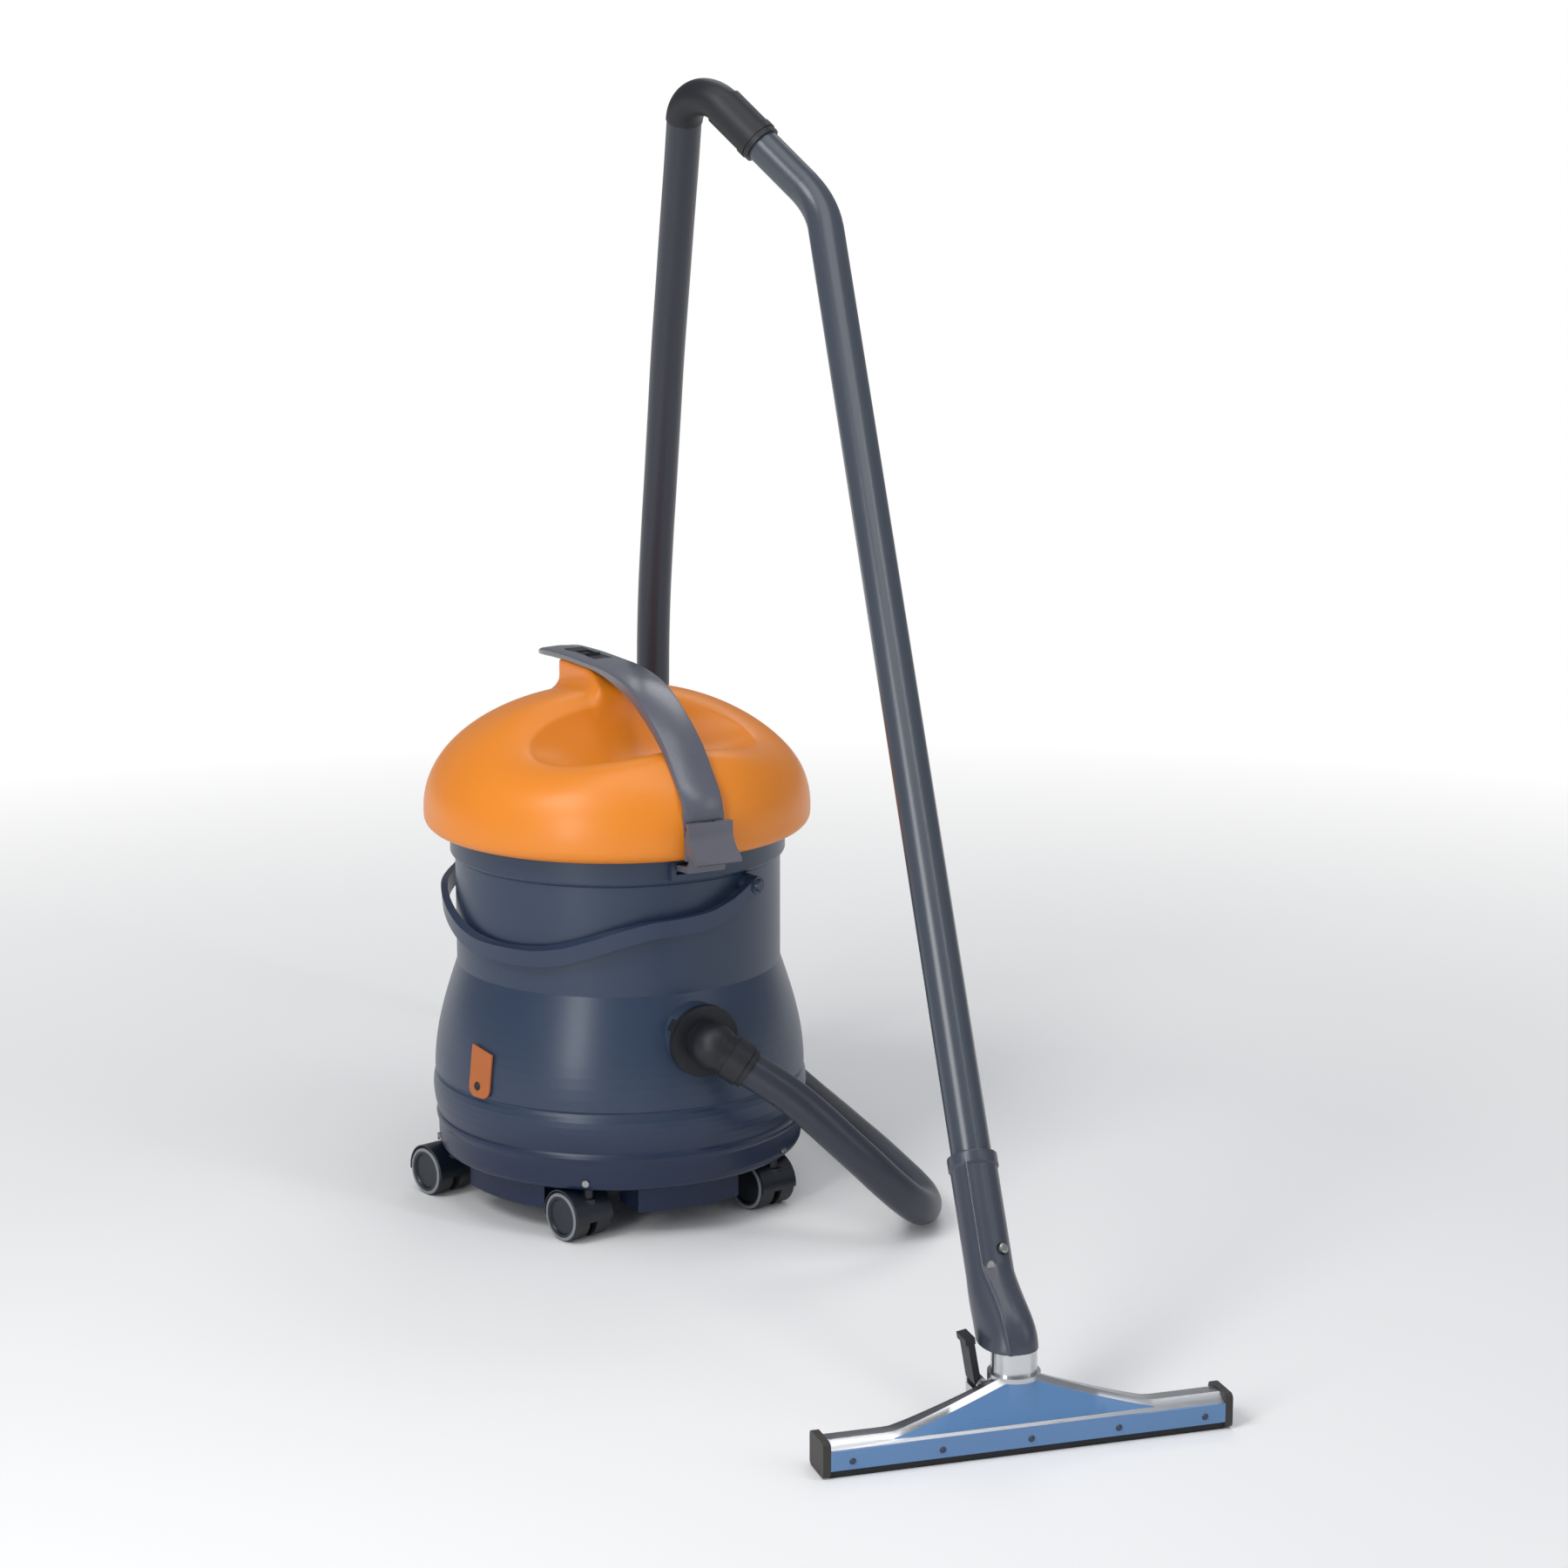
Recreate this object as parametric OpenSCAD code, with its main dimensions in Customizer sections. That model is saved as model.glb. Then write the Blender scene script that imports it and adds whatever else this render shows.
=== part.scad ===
// Wet-and-dry tub cleaner: a flared tub on five castors, a lift-off domed head with the
// suction motor, a smooth hose, a bent wand and a wide squeegee floor tool.
// +Z is up and +Y points away from the front view. All sizes are in millimetres.

/* [Tub] */
// Outer radius of the upper, straight part of the tub
tub_r = 166; // [150:1:180]
// Outer radius of the belly at its widest line
belly_r = 190.5; // [182:0.5:205]
// Height at which the belly starts to flare
waist_z = 248; // [225:1:265]
// Height of the line round the lower belly
belly_line_z = 135; // [120:1:150]
// Height of the tub's underside above the floor
tub_floor_z = 54; // [54:1:64]
// Height of the tub's rim
rim_z = 386; // [370:1:400]
// Thickness of the moulded tub wall
tub_wall = 3; // [2:0.5:5]
// How far the collar below the rim stands out
collar_out = 5; // [3:0.5:7]
// Height of that collar
collar_h = 24; // [15:1:30]
// Turn of the tub's front towards the right
front_turn = 28; // [20:1:36]

/* [Hose inlet] */
// Height of the hose inlet
inlet_z = 206; // [195:1:212]
// Inner radius of the inlet pipe
inlet_bore_r = 17; // [14:0.5:19]
// Radius of the inlet's round flange
inlet_flange_r = 36; // [32:1:40]
// Length of the cuff on the tub end of the hose
cuff_len = 42; // [36:1:50]
// Wall of the elbows and cuffs
cuff_wall = 3; // [2:0.5:4]

/* [Base] */
// Radius of the circle of castor stems
castor_circle_r = 176; // [172:1:180]
// Diameter of the castor wheels
wheel_d = 50; // [46:1:50]
// Distance of the wheel axle behind the castor's stem
castor_trail = 16; // [12:1:18]
// Width over both wheels of a castor
castor_w = 46; // [40:1:48]
// Radius of a castor stem
stem_r = 5; // [4:0.5:6]
// Direction in which the castors trail at rest
castor_turn = 131; // [0:1:359]
// Outer radius of the skirts between the castors
skirt_r = 168; // [160:1:174]
// Height of those skirts
skirt_h = 28; // [20:1:34]

/* [Bail] */
// Gap between the tub's straight wall and the bail's band
bail_gap = 9.5; // [8.5:0.5:13]
// Height of the bail's pivots
bail_z = 349; // [340:1:352]
// Width of the bail's band
bail_w = 17; // [14:1:20]
// Thickness of the bail's band
bail_t = 7; // [5:0.5:8]
// Turn of the bail from the tub's front
bail_turn = -66; // [-80:1:-50]
// Angle by which the bail leans in against the tub
bail_lean = 6.5; // [5:0.5:6.5]

/* [Head] */
// Largest radius of the domed cover
dome_r = 197; // [192:1:204]
// Height of the dome's widest line
dome_z = 408; // [402:1:414]
// Rise of the dome above its widest line
dome_h = 120; // [112:1:126]
// Thickness of the dome
dome_wall = 3; // [2:0.5:4]
// Radius of the finger scoop under the handle
scoop_r = 68; // [60:1:70]
// Width of the handle's strap
handle_w = 43; // [38:1:50]
// Thickness of the handle's strap
handle_t = 8; // [8:0.5:11]
// Width of each latch
latch_w = 48; // [44:1:54]
// Radius of a latch's hinge pin
latch_pin_r = 2; // [1.5:0.1:2.4]

/* [Motor and filter] */
// Radius of the motor housing
motor_r = 72; // [66:1:78]
// Height of the motor housing
motor_h = 60; // [54:1:61]
// Radius of the fan
fan_r = 58; // [50:1:62]
// Radius of the motor shaft
shaft_r = 4; // [3:0.5:5]
// Radius of the filter cage
cage_r = 62; // [58:1:70]
// Height of the filter cage
cage_h = 165; // [150:1:175]
// Outer radius of the pleated filter
filter_r = 92; // [84:1:100]
// Number of pleats
pleats = 48; // [36:4:60]
// Height of the float
float_h = 46; // [40:1:50]

/* [Wand and hose] */
// Outside diameter of the wand
wand_d = 36; // [34:0.5:38]
// Wall of the wand
wand_wall = 2; // [1.5:0.5:3]
// Radius of the wand's bend
wand_bend_r = 90; // [70:5:110]
// Length from the hose's top elbow to the wand's bend
wand_upper_len = 147; // [140:1:160]
// Outside diameter of the hose
hose_d = 36; // [34:0.5:38]
// Radius of the elbow at the top of the hose
top_elbow_r = 38; // [34:1:44]
// Length of the cuff on the top elbow
top_cuff_len = 57; // [50:1:65]

/* [Floor tool] */
// Length of the floor tool
tool_len = 372; // [340:2:400]
// Depth of the floor tool at its ends
tool_depth = 36; // [34:1:42]
// Height of the floor tool at its ends
tool_end_h = 31; // [29:1:35]
// Height of the tool's shoulder under the neck
tool_peak_h = 63; // [60:1:68]
// Height of the front clamp rail
rail_h = 17; // [14:1:19]
// Number of screws along the rail
rail_screws = 5; // [3:1:7]
// Turn of the floor tool
tool_turn = 17.5; // [12:0.5:22]
// Length of the tool's neck along the wand
neck_len = 190; // [170:1:210]

/* [Hidden] */
$fn = 64;

// Colours
navy = "#3e4a5e";
slate = "#4a5060";
dark = "#20242c";
orange = "#e8872a";
tool_blue = "#5c86b8";
silver = "#c3c6c8";
black = "#1b1b1d";
tyre_grey = "#a9adb2";

// Clearances: eps parts bodies that don't touch, run is a running fit on the radius,
// and over is how far a cutting shape reaches past what it cuts
eps = 0.35;
run = 0.05;
over = 1;

// Plain vector work
function unit(v) = v / norm(v);
function lerp(a, b, t) = a + (b - a) * t;
function turned(v, a) = [v[0] * cos(a) - v[1] * sin(a), v[0] * sin(a) + v[1] * cos(a), v[2]];

// Closed body through rings of points, each ring with the same number of points
module loft(rings) {
    n = len(rings[0]);
    m = len(rings);
    points = [for (r = rings) for (p = r) p];
    sides = [for (i = [0 : m - 2]) for (j = [0 : n - 1]) for (k = [0, 1])
        let (a = i * n + j, b = i * n + (j + 1) % n)
        k == 0 ? [a, a + n, b] : [b, a + n, b + n]];
    first = [for (j = [1 : n - 2]) [0, j, j + 1]];
    last = [for (j = [1 : n - 2]) [(m - 1) * n, (m - 1) * n + j + 1, (m - 1) * n + j]];
    polyhedron(points = points, faces = concat(sides, first, last), convexity = 8);
}

// Turns the z axis to the direction d and moves to the point p
module along(p, d) {
    translate(p) rotate([0, acos(d[2] / norm(d)), atan2(d[1], d[0])]) children();
}

// Frame at p with x and z in the plane of the directions a and b
module in_plane(p, a, b) {
    z = unit(a);
    x = unit(b - (b * z) * z);
    y = cross(z, x);
    multmatrix([[x[0], y[0], z[0], p[0]], [x[1], y[1], z[1], p[1]], [x[2], y[2], z[2], p[2]]])
        children();
}

// Quarter-round or longer piece of tube that starts at the origin along z and bends to x
module bent_tube(bend_r, angle, outer_r, inner_r) {
    translate([bend_r, 0, 0]) rotate([90, 0, 180]) rotate_extrude(angle = angle)
        translate([bend_r, 0]) difference() {
            circle(r = outer_r);
            circle(r = inner_r);
        }
}

// Places: the floor tool from the tub's axis, and the part's origin under its middle
tool_place = [380, -715, 0];
wheel_r = wheel_d / 2;
function castor_angle(k) = front_turn - 108 + 72 * k;
function castor_at(k) = castor_circle_r * [sin(castor_angle(k)), -cos(castor_angle(k)), 0];
hood_gap = 1;
hood_t = 1.5;
hood_r = wheel_r + hood_gap + hood_t;
hood_half = castor_w / 2 - 1;
latch_pin_at = [dome_r + 7.5, 424];
latch_reach = 26.5;
x_low = castor_at(0)[0] - (castor_trail + hood_r) * abs(cos(castor_turn))
    - hood_half * abs(sin(castor_turn));
y_high = (latch_pin_at[0] + latch_reach) * cos(front_turn) + latch_w / 2 * sin(front_turn);
x_high = tool_place[0] + tool_len / 2 * cos(tool_turn);
y_low = tool_place[1] - tool_len / 2 * sin(tool_turn);
middle = [(x_low + x_high) / 2, (y_low + y_high) / 2, 0];

module part() { translate(-middle) children(); }
module tub_front() { part() rotate([0, 0, front_turn]) children(); }
module tool_front() { part() translate(tool_place) rotate([0, 0, tool_turn]) children(); }

// ---------------------------------------------------------------- tub and base

belly_steps = 10;
rib_z = 88;
floor_edge = 9;
function belly_at(z) = z >= waist_z ? tub_r
    : tub_r + (belly_r - tub_r) * sin(90 * (waist_z - z) / (waist_z - belly_line_z));
belly_curve = [for (i = [0 : belly_steps])
    let (z = lerp(belly_line_z + 2, waist_z, i / belly_steps)) [belly_at(z), z]];
tub_foot = [
    [belly_r - 8.5, tub_floor_z], [belly_r - 5, tub_floor_z + 2],
    [belly_r - 3.4, tub_floor_z + 5], [belly_r - 2.8, tub_floor_z + floor_edge],
    [belly_r - 2.4, rib_z - 6], [belly_r - 1, rib_z - 3], [belly_r - 0.4, rib_z],
    [belly_r - 1, rib_z + 3], [belly_r - 2.2, rib_z + 5], [belly_r - 0.8, rib_z + 10],
    [belly_r + 0.8, rib_z + 17], [belly_r + 1.8, rib_z + 25], [belly_r + 2, rib_z + 32],
    [belly_r + 1.5, belly_line_z - 9], [belly_r + 0.3, belly_line_z - 4],
    [belly_r - 1.4, belly_line_z - 1], [belly_r - 1.4, belly_line_z]
];
collar = [
    [tub_r, rim_z - collar_h - 3], [tub_r + collar_out - 1, rim_z - collar_h],
    [tub_r + collar_out, rim_z - collar_h + 2], [tub_r + collar_out, rim_z]
];
boss_r = 8;
boss_h = 34;
boss_foot = 2.5;
pad_face = belly_r - 0.5;

module tub_form() {
    rotate_extrude($fn = 128)
        polygon(concat([[0, tub_floor_z]], tub_foot, belly_curve, collar, [[0, rim_z]]));
}

module tub_hollow() {
    inner = [for (p = concat(tub_foot, belly_curve)) [p[0] - tub_wall, p[1]]];
    floor_at = tub_floor_z + tub_wall + 1;
    rotate_extrude($fn = 128) polygon(concat(
        [[0, floor_at], [belly_r - tub_wall - 5, floor_at]],
        [for (p = inner) if (p[1] > floor_at) p],
        [[tub_r - tub_wall, waist_z + 1], [tub_r - tub_wall, rim_z + over], [0, rim_z + over]]));
}

module inlet_axis(y) { translate([0, -y, inlet_z]) rotate([90, 0, 0]) children(); }

module tub() {
    color(navy) part() {
        difference() {
            union() {
                difference() {
                    union() {
                        tub_form();
                        rotate([0, 0, front_turn]) inlet_axis(tub_r)
                            cylinder(r = inlet_flange_r - 2, h = pad_face - tub_r);
                    }
                    tub_hollow();
                }
                for (k = [0 : 4]) translate(castor_at(k) + [0, 0, tub_floor_z + boss_foot])
                    cylinder(r = boss_r, h = boss_h - boss_foot);
            }
            for (k = [0 : 4]) translate(castor_at(k) + [0, 0, tub_floor_z - over])
                cylinder(r = stem_r + run, h = boss_h - 3 + over);
            rotate([0, 0, front_turn]) inlet_axis(tub_r - 40)
                cylinder(r = inlet_bore_r + cuff_wall + run, h = 70);
        }
    }
}

screw_z = tub_floor_z + floor_edge;
module castor_screws() {
    head_r = 3.5;
    color(silver) part() for (k = [0 : 4])
        rotate([0, 0, castor_angle(k)]) translate([0, -(belly_r - 2.6), screw_z])
            rotate([90, 0, 0]) cylinder(r = head_r, h = 2.4);
}

swing_r = 50;
module base_skirts() {
    color("#2c3a5c") part() difference() {
        translate([0, 0, tub_floor_z - skirt_h]) cylinder(r = skirt_r, h = skirt_h, $fn = 128);
        translate([0, 0, tub_floor_z - skirt_h - over])
            cylinder(r = skirt_r - 34, h = skirt_h + 2 * over);
        for (k = [0 : 4]) translate(castor_at(k) + [0, 0, tub_floor_z - skirt_h - over])
            cylinder(r = swing_r, h = skirt_h + 2 * over);
    }
}

tag_turn = -72;
tag_z = 163;
tag_w = 30;
tag_h = 52;
tag_t = 2;
module tag_form(w, h) {
    // slanted top edge, rounded foot
    difference() {
        union() {
            translate([-w / 2, -h / 2 + w / 3]) square([w, h - w / 3]);
            translate([-w / 2 + w / 3, -h / 2]) square([w / 3, w / 3]);
            for (side = [-1, 1]) translate([side * w / 6, -h / 2 + w / 3]) circle(r = w / 3);
        }
        translate([-w / 2, h / 2]) rotate(-12) translate([0, -0.01]) square([2 * w, h]);
    }
}

// The belly leans outwards here, so the plate leans with it
tag_lean = atan((belly_at(tag_z - tag_h / 2) - belly_at(tag_z + tag_h / 2)) / tag_h);
module tag_place() {
    tub_front() rotate([0, 0, tag_turn]) translate([0, -belly_at(tag_z) - 0.6, tag_z])
        rotate([90 - tag_lean, 0, 0]) children();
}
module tag_plate() {
    color(orange) tag_place() difference() {
        linear_extrude(tag_t) tag_form(tag_w, tag_h);
        translate([-3, -tag_h / 2 + 11, -over]) cylinder(r = 3, h = tag_t + 2 * over);
    }
}
module tag_rivet() {
    color(dark) tag_place() translate([-3, -tag_h / 2 + 11, 0]) {
        cylinder(r = 3, h = tag_t);
        translate([0, 0, tag_t]) cylinder(r1 = 4.5, r2 = 3, h = 1.5);
    }
}

// ---------------------------------------------------------------- hose inlet

flange_t = 8;
elbow_out = 24;
pipe_r = inlet_bore_r + cuff_wall;
module inlet_flange() {
    lug_turn = 150;
    color(black) tub_front() difference() {
        union() {
            inlet_axis(pad_face) cylinder(r = inlet_flange_r, h = flange_t);
            inlet_axis(pad_face) rotate([0, 0, lug_turn])
                translate([inlet_flange_r - 4, -6, 0]) cube([9, 12, flange_t - 2]);
            inlet_axis(tub_r - 22) cylinder(r = pipe_r, h = pad_face - tub_r + 22 + over);
        }
        inlet_axis(tub_r - 22 - over) cylinder(r = inlet_bore_r, h = 70);
    }
}

module inlet_deflector() {
    // hood behind the inlet that turns the stream down
    hood_out = pipe_r + 14;
    hood_y = tub_r - 22;
    depth = 26;
    wall = 3;
    color(dark) tub_front() difference() {
        inlet_axis(hood_y - depth) cylinder(r = hood_out, h = depth + wall);
        inlet_axis(hood_y - depth + wall) cylinder(r = hood_out - wall, h = depth - wall);
        inlet_axis(hood_y - over) cylinder(r = pipe_r, h = wall + 2 * over);
        translate([-hood_out - over, -hood_y - 2 * wall, inlet_z - hood_out - over])
            cube([2 * hood_out + 2 * over, 40, hood_out * 0.7]);
    }
}

// The route of the hose, as distances from the tub's axis. The first and last points are
// worked out: the end of the cuff on the elbow, and the start of the top elbow.
elbow_at = turned([0, -(pad_face + flange_t + elbow_out - 6), 0], front_turn) + [0, 0, inlet_z];
hose_way = [
    [174, -201, 160], [201, -204, 138], [227, -203, 113], [252, -199, 88], [274, -190, 64],
    [292, -176, 44], [305, -156, 29], [311, -129, 21], [310, -96, 18.5], [302, -58, 18],
    [290, -18, 18], [277, 25, 18], [263, 69, 18], [248, 113, 18], [233, 158, 18],
    [217, 203, 18.5], [199, 247, 21], [177, 288, 29], [151, 323, 46], [123, 348, 75],
    [94, 361, 115], [70, 365, 164], [50, 363, 221],
    [37, 358, 283], [29, 351, 350], [25, 343, 420], [25, 334, 490], [27, 324, 560],
    [31, 312, 630], [36, 297, 700], [41, 279, 770], [46, 258, 840], [52, 234, 909],
    [58, 207, 977], [64, 178, 1042]
];
hose_start = elbow_at + cuff_len * unit(hose_way[0] - elbow_at);
hose_end = [68, 155, 1089];
hose_points = concat([hose_start], hose_way, [hose_end]);
hose_sides = 12;
hose_side = unit([0.5, 0.5, 0.7]);

function hose_ring(i) =
    let (
        last = len(hose_points) - 1,
        t = unit(hose_points[min(i + 1, last)] - hose_points[max(i - 1, 0)]),
        a = unit(cross(hose_side, t)),
        b = cross(t, a)
    )
    [for (j = [0 : hose_sides - 1])
        hose_points[i] + hose_d / 2 * (cos(j * 360 / hose_sides) * a
            - sin(j * 360 / hose_sides) * b)];

module hose() {
    color("#363b4c") part() loft([for (i = [0 : len(hose_points) - 1]) hose_ring(i)]);
}

module hose_elbow() {
    cuff_way = hose_start - elbow_at;
    grip_r = pipe_r + 2.5;
    color(black) part() difference() {
        union() {
            rotate([0, 0, front_turn]) inlet_axis(pad_face + flange_t)
                cylinder(r = pipe_r + 2, h = elbow_out - 6);
            translate(elbow_at) sphere(r = pipe_r + 3);
            along(elbow_at, cuff_way) cylinder(r = pipe_r + 0.5, h = cuff_len);
            along(elbow_at, cuff_way) translate([0, 0, cuff_len - 24]) cylinder(r = grip_r, h = 18);
        }
        rotate([0, 0, front_turn]) inlet_axis(pad_face) cylinder(r = inlet_bore_r, h = 40);
        translate(elbow_at) sphere(r = inlet_bore_r + 1);
        along(elbow_at, cuff_way) cylinder(r = inlet_bore_r, h = cuff_len + over);
    }
}

// ---------------------------------------------------------------- top elbow and wand

wand_r = wand_d / 2;
hose_up = unit(hose_end - hose_way[len(hose_way) - 1]);
wand_down = unit([0.67, -0.36, -0.65]);
top_turn = acos(hose_up * wand_down);
top_side = unit(wand_down - (hose_up * wand_down) * hose_up);
elbow_end = hose_end + top_elbow_r * (sin(top_turn) * hose_up + (1 - cos(top_turn)) * top_side);
wand_start = elbow_end + (top_cuff_len - 30) * wand_down;
wand_corner = elbow_end + wand_upper_len * wand_down;

// Foot of the wand's axis on the floor tool
neck_x = -10;
neck_back = 40;
neck_foot = tool_place + turned([neck_x, neck_back, tool_peak_h + 3], tool_turn);
wand_lower = unit(neck_foot - wand_corner);
bend_angle = acos(wand_down * wand_lower);
bend_run = wand_bend_r * tan(bend_angle / 2);
neck_top = neck_foot - neck_len * wand_lower;
socket_len = 45;
wand_end = neck_foot - (neck_len - socket_len) * wand_lower;

module hose_top_elbow() {
    elbow_out_r = hose_d / 2 + 1;
    bore_r = hose_d / 2 - cuff_wall;
    color(black) part() {
        in_plane(hose_end, hose_up, wand_down)
            bent_tube(top_elbow_r, top_turn, elbow_out_r, bore_r);
        along(elbow_end, wand_down) difference() {
            union() {
                translate([0, 0, -over]) cylinder(r = wand_r + cuff_wall, h = top_cuff_len + over);
                translate([0, 0, top_cuff_len - 14]) cylinder(r = wand_r + cuff_wall + 1, h = 8);
            }
            translate([0, 0, -2 * over]) cylinder(r = bore_r + 0.3, h = top_cuff_len);
            translate([0, 0, top_cuff_len - 30]) cylinder(r = wand_r, h = 30 + over);
        }
    }
}

module wand() {
    upper = norm(wand_corner - wand_start) - bend_run;
    lower = norm(wand_end - wand_corner) - bend_run;
    thinner = 0.1;
    bend_start = wand_start + upper * wand_down;
    bend_end = wand_corner + bend_run * wand_lower;
    color("#4f586a") part() {
        along(wand_start, wand_down) wand_tube(upper + over);
        in_plane(bend_start, wand_down, wand_lower)
            bent_tube(wand_bend_r, bend_angle, wand_r - thinner, wand_r - wand_wall + thinner);
        along(bend_end - over * wand_lower, wand_lower) wand_tube(lower + over);
    }
}

module wand_tube(length) {
    difference() {
        cylinder(r = wand_r, h = length);
        translate([0, 0, -over]) cylinder(r = wand_r - wand_wall, h = length + 2 * over);
    }
}

// ---------------------------------------------------------------- floor tool

neck_r = wand_r + 3;
collar_at = [-3, 36];
neck_wide = 20;
neck_deep = 18;
collar_z = [tool_peak_h, tool_peak_h + 20];
flare_run = 72;
button_back = 98;
button_r = 4.5;
ear_t = 3;
lever_w = 22;
lever_pin_r = 2;
lever_at = [-30, 54, 52];

// Frame on the wand's axis: z runs up the wand, x to the tool's left end
module neck_frame(run_up) {
    part() translate(neck_foot - run_up * wand_lower)
        in_plane([0, 0, 0], -wand_lower, turned([-1, 0, 0], tool_turn)) children();
}
module oval(z, h, grow) {
    tool_front() translate([collar_at[0], collar_at[1], z]) hull() for (side = [-1, 1])
        translate([side * (neck_wide - neck_deep), 0, 0])
            cylinder(r = neck_deep + grow, h = h, $fn = 32);
}

// Rings of the neck's flare, from the collar's oval up to the round of the sleeve
flare_steps = 8;
flare_sides = 40;
neck_up = -wand_lower;
neck_left = unit(turned([-1, 0, 0], tool_turn)
    - (turned([-1, 0, 0], tool_turn) * neck_up) * neck_up);
neck_front = cross(neck_up, neck_left);
oval_at = tool_place + turned([collar_at[0], collar_at[1], collar_z[1]], tool_turn);
function oval_point(a, r) = oval_at + turned([
    -r * cos(a) - sign(cos(a)) * (neck_wide - neck_deep), -r * sin(a), 0], tool_turn);
function round_point(a, r) = neck_foot + (flare_run + 1) * neck_up
    + r * (cos(a) * neck_left + sin(a) * neck_front);
function neck_ring(t, inset) = [for (j = [0 : flare_sides - 1])
    let (a = 360 * (j + 0.5) / flare_sides)
    lerp(oval_point(a, neck_deep + 0.8 - inset), round_point(a, neck_r - 0.3 - inset), t)];
neck_wall = 4.5;

button_side = 112;
screw_side = 76;
screw_back = button_back - 14;
rib_side = 56;
module tool_neck() {
    rib_r = 2.5;
    color(slate) difference() {
        union() {
            neck_frame(flare_run) cylinder(r = neck_r, h = neck_len - flare_run);
            neck_frame(neck_len - 12) cylinder(r = neck_r + 1.2, h = 12);
            neck_frame(flare_run) rotate([0, 0, rib_side])
                translate([neck_r - 1.2, 0, 0]) cylinder(r = rib_r, h = neck_len - flare_run - 16);
            part() loft([for (i = [0 : flare_steps]) neck_ring(i / flare_steps, 0)]);
        }
        neck_frame(neck_len - socket_len) cylinder(r = wand_r, h = socket_len + over);
        part() loft([for (t = [-0.05, 0.25, 0.5, 0.75, 1.05]) neck_ring(t, neck_wall)]);
        neck_frame(flare_run + 2) cylinder(r = wand_r - wand_wall, h = neck_len);
        neck_frame(button_back) rotate([0, 0, button_side]) rotate([0, 90, 0])
            cylinder(r = button_r + run, h = neck_r + 5);
        neck_frame(screw_back) rotate([0, 0, screw_side]) rotate([0, 90, 0])
            translate([0, 0, neck_r - 3]) cylinder(r = 2.5, h = 10);
    }
}

module neck_screw() {
    color(silver) neck_frame(screw_back) rotate([0, 0, screw_side])
        rotate([0, 90, 0]) translate([0, 0, neck_r - 3]) {
            cylinder(r = 2.5 - run, h = 3);
            translate([0, 0, 3]) cylinder(r1 = 4, r2 = 2.6, h = 1.6);
        }
}

module snap_button() {
    color(silver) neck_frame(button_back) rotate([0, 0, button_side]) rotate([0, 90, 0])
        translate([0, 0, wand_r - wand_wall + 2.6]) {
            cylinder(r = button_r, h = neck_r - wand_r + wand_wall - 0.6);
            translate([0, 0, neck_r - wand_r + wand_wall - 0.6])
                cylinder(r1 = button_r, r2 = button_r - 1.5, h = 1.2);
        }
}

module tool_collar() {
    color(silver) difference() {
        oval(collar_z[0], collar_z[1] - collar_z[0], 0);
        tool_front() translate([collar_at[0], collar_at[1], collar_z[0] - over])
            cylinder(r = neck_deep - 3, h = collar_z[1] - collar_z[0] + 2 * over);
    }
}

// Fishtail of the casting: 1 at the neck, falling to 0 at the wings
wing_x = 118;
flat_x = 15;
function tail(x) = let (d = abs(x - collar_at[0]))
    d <= flat_x ? 1 : d >= wing_x ? 0 : pow(1 - (d - flat_x) / (wing_x - flat_x), 1.15);
sole_z = 7;
rail_t = 3;
end_cap_t = 7;
function top_z(x) = lerp(tool_end_h, tool_peak_h, tail(x));
function body_ring(x) =
    let (f = tail(x), h = top_z(x), back = tool_depth + 4 * f)
    [for (p = [
        [rail_t, sole_z], [rail_t, sole_z + rail_h], [rail_t + 3, sole_z + rail_h + 2],
        [lerp(8, 17, f), h - 4], [lerp(12, 24, f), h], [back - 9, h - 1],
        [back - 2, h - 6], [back, sole_z + 4], [back - 1, sole_z]
    ]) [x, p[0], p[1]]];
body_half = tool_len / 2 - end_cap_t;
body_steps = 48;

module lever_ears() {
    for (side = [-1, 1]) translate([0, side * (lever_w / 2 + eps + ear_t / 2), 0]) {
        rotate([90, 0, 0]) cylinder(r = 4.5, h = ear_t, center = true);
        translate([-4.5, -ear_t / 2, -14]) cube([9, ear_t, 14]);
    }
}
module tool_body() {
    mouth_half = body_half - 8;
    color(silver) tool_front() difference() {
        union() {
            loft([for (i = [body_steps : -1 : 0])
                body_ring(lerp(-body_half, body_half, i / body_steps))]);
            translate([collar_at[0], collar_at[1], sole_z + 5])
                cylinder(r = neck_deep + 5, h = tool_peak_h - sole_z - 5);
            translate([lever_at[0] - 4.5, lever_at[1] - lever_w / 2 - eps - ear_t,
                lever_at[2] - 16]) cube([18, lever_w + 2 * (ear_t + eps), 8]);
            translate(lever_at) lever_ears();
        }
        translate(lever_at) rotate([90, 0, 0])
            cylinder(r = lever_pin_r, h = 2 * lever_w, center = true);
        translate([-mouth_half, 9, sole_z - over])
            cube([2 * mouth_half, tool_depth - 16, tool_end_h - sole_z - 7 + over]);
        translate([collar_at[0], collar_at[1], sole_z + 8])
            cylinder(r = neck_deep - 3, h = tool_peak_h);
        translate([collar_at[0] - neck_deep + 3, 9, sole_z - over])
            cube([2 * neck_deep - 6, collar_at[1] - 12, tool_end_h - sole_z]);
    }
}

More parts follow.
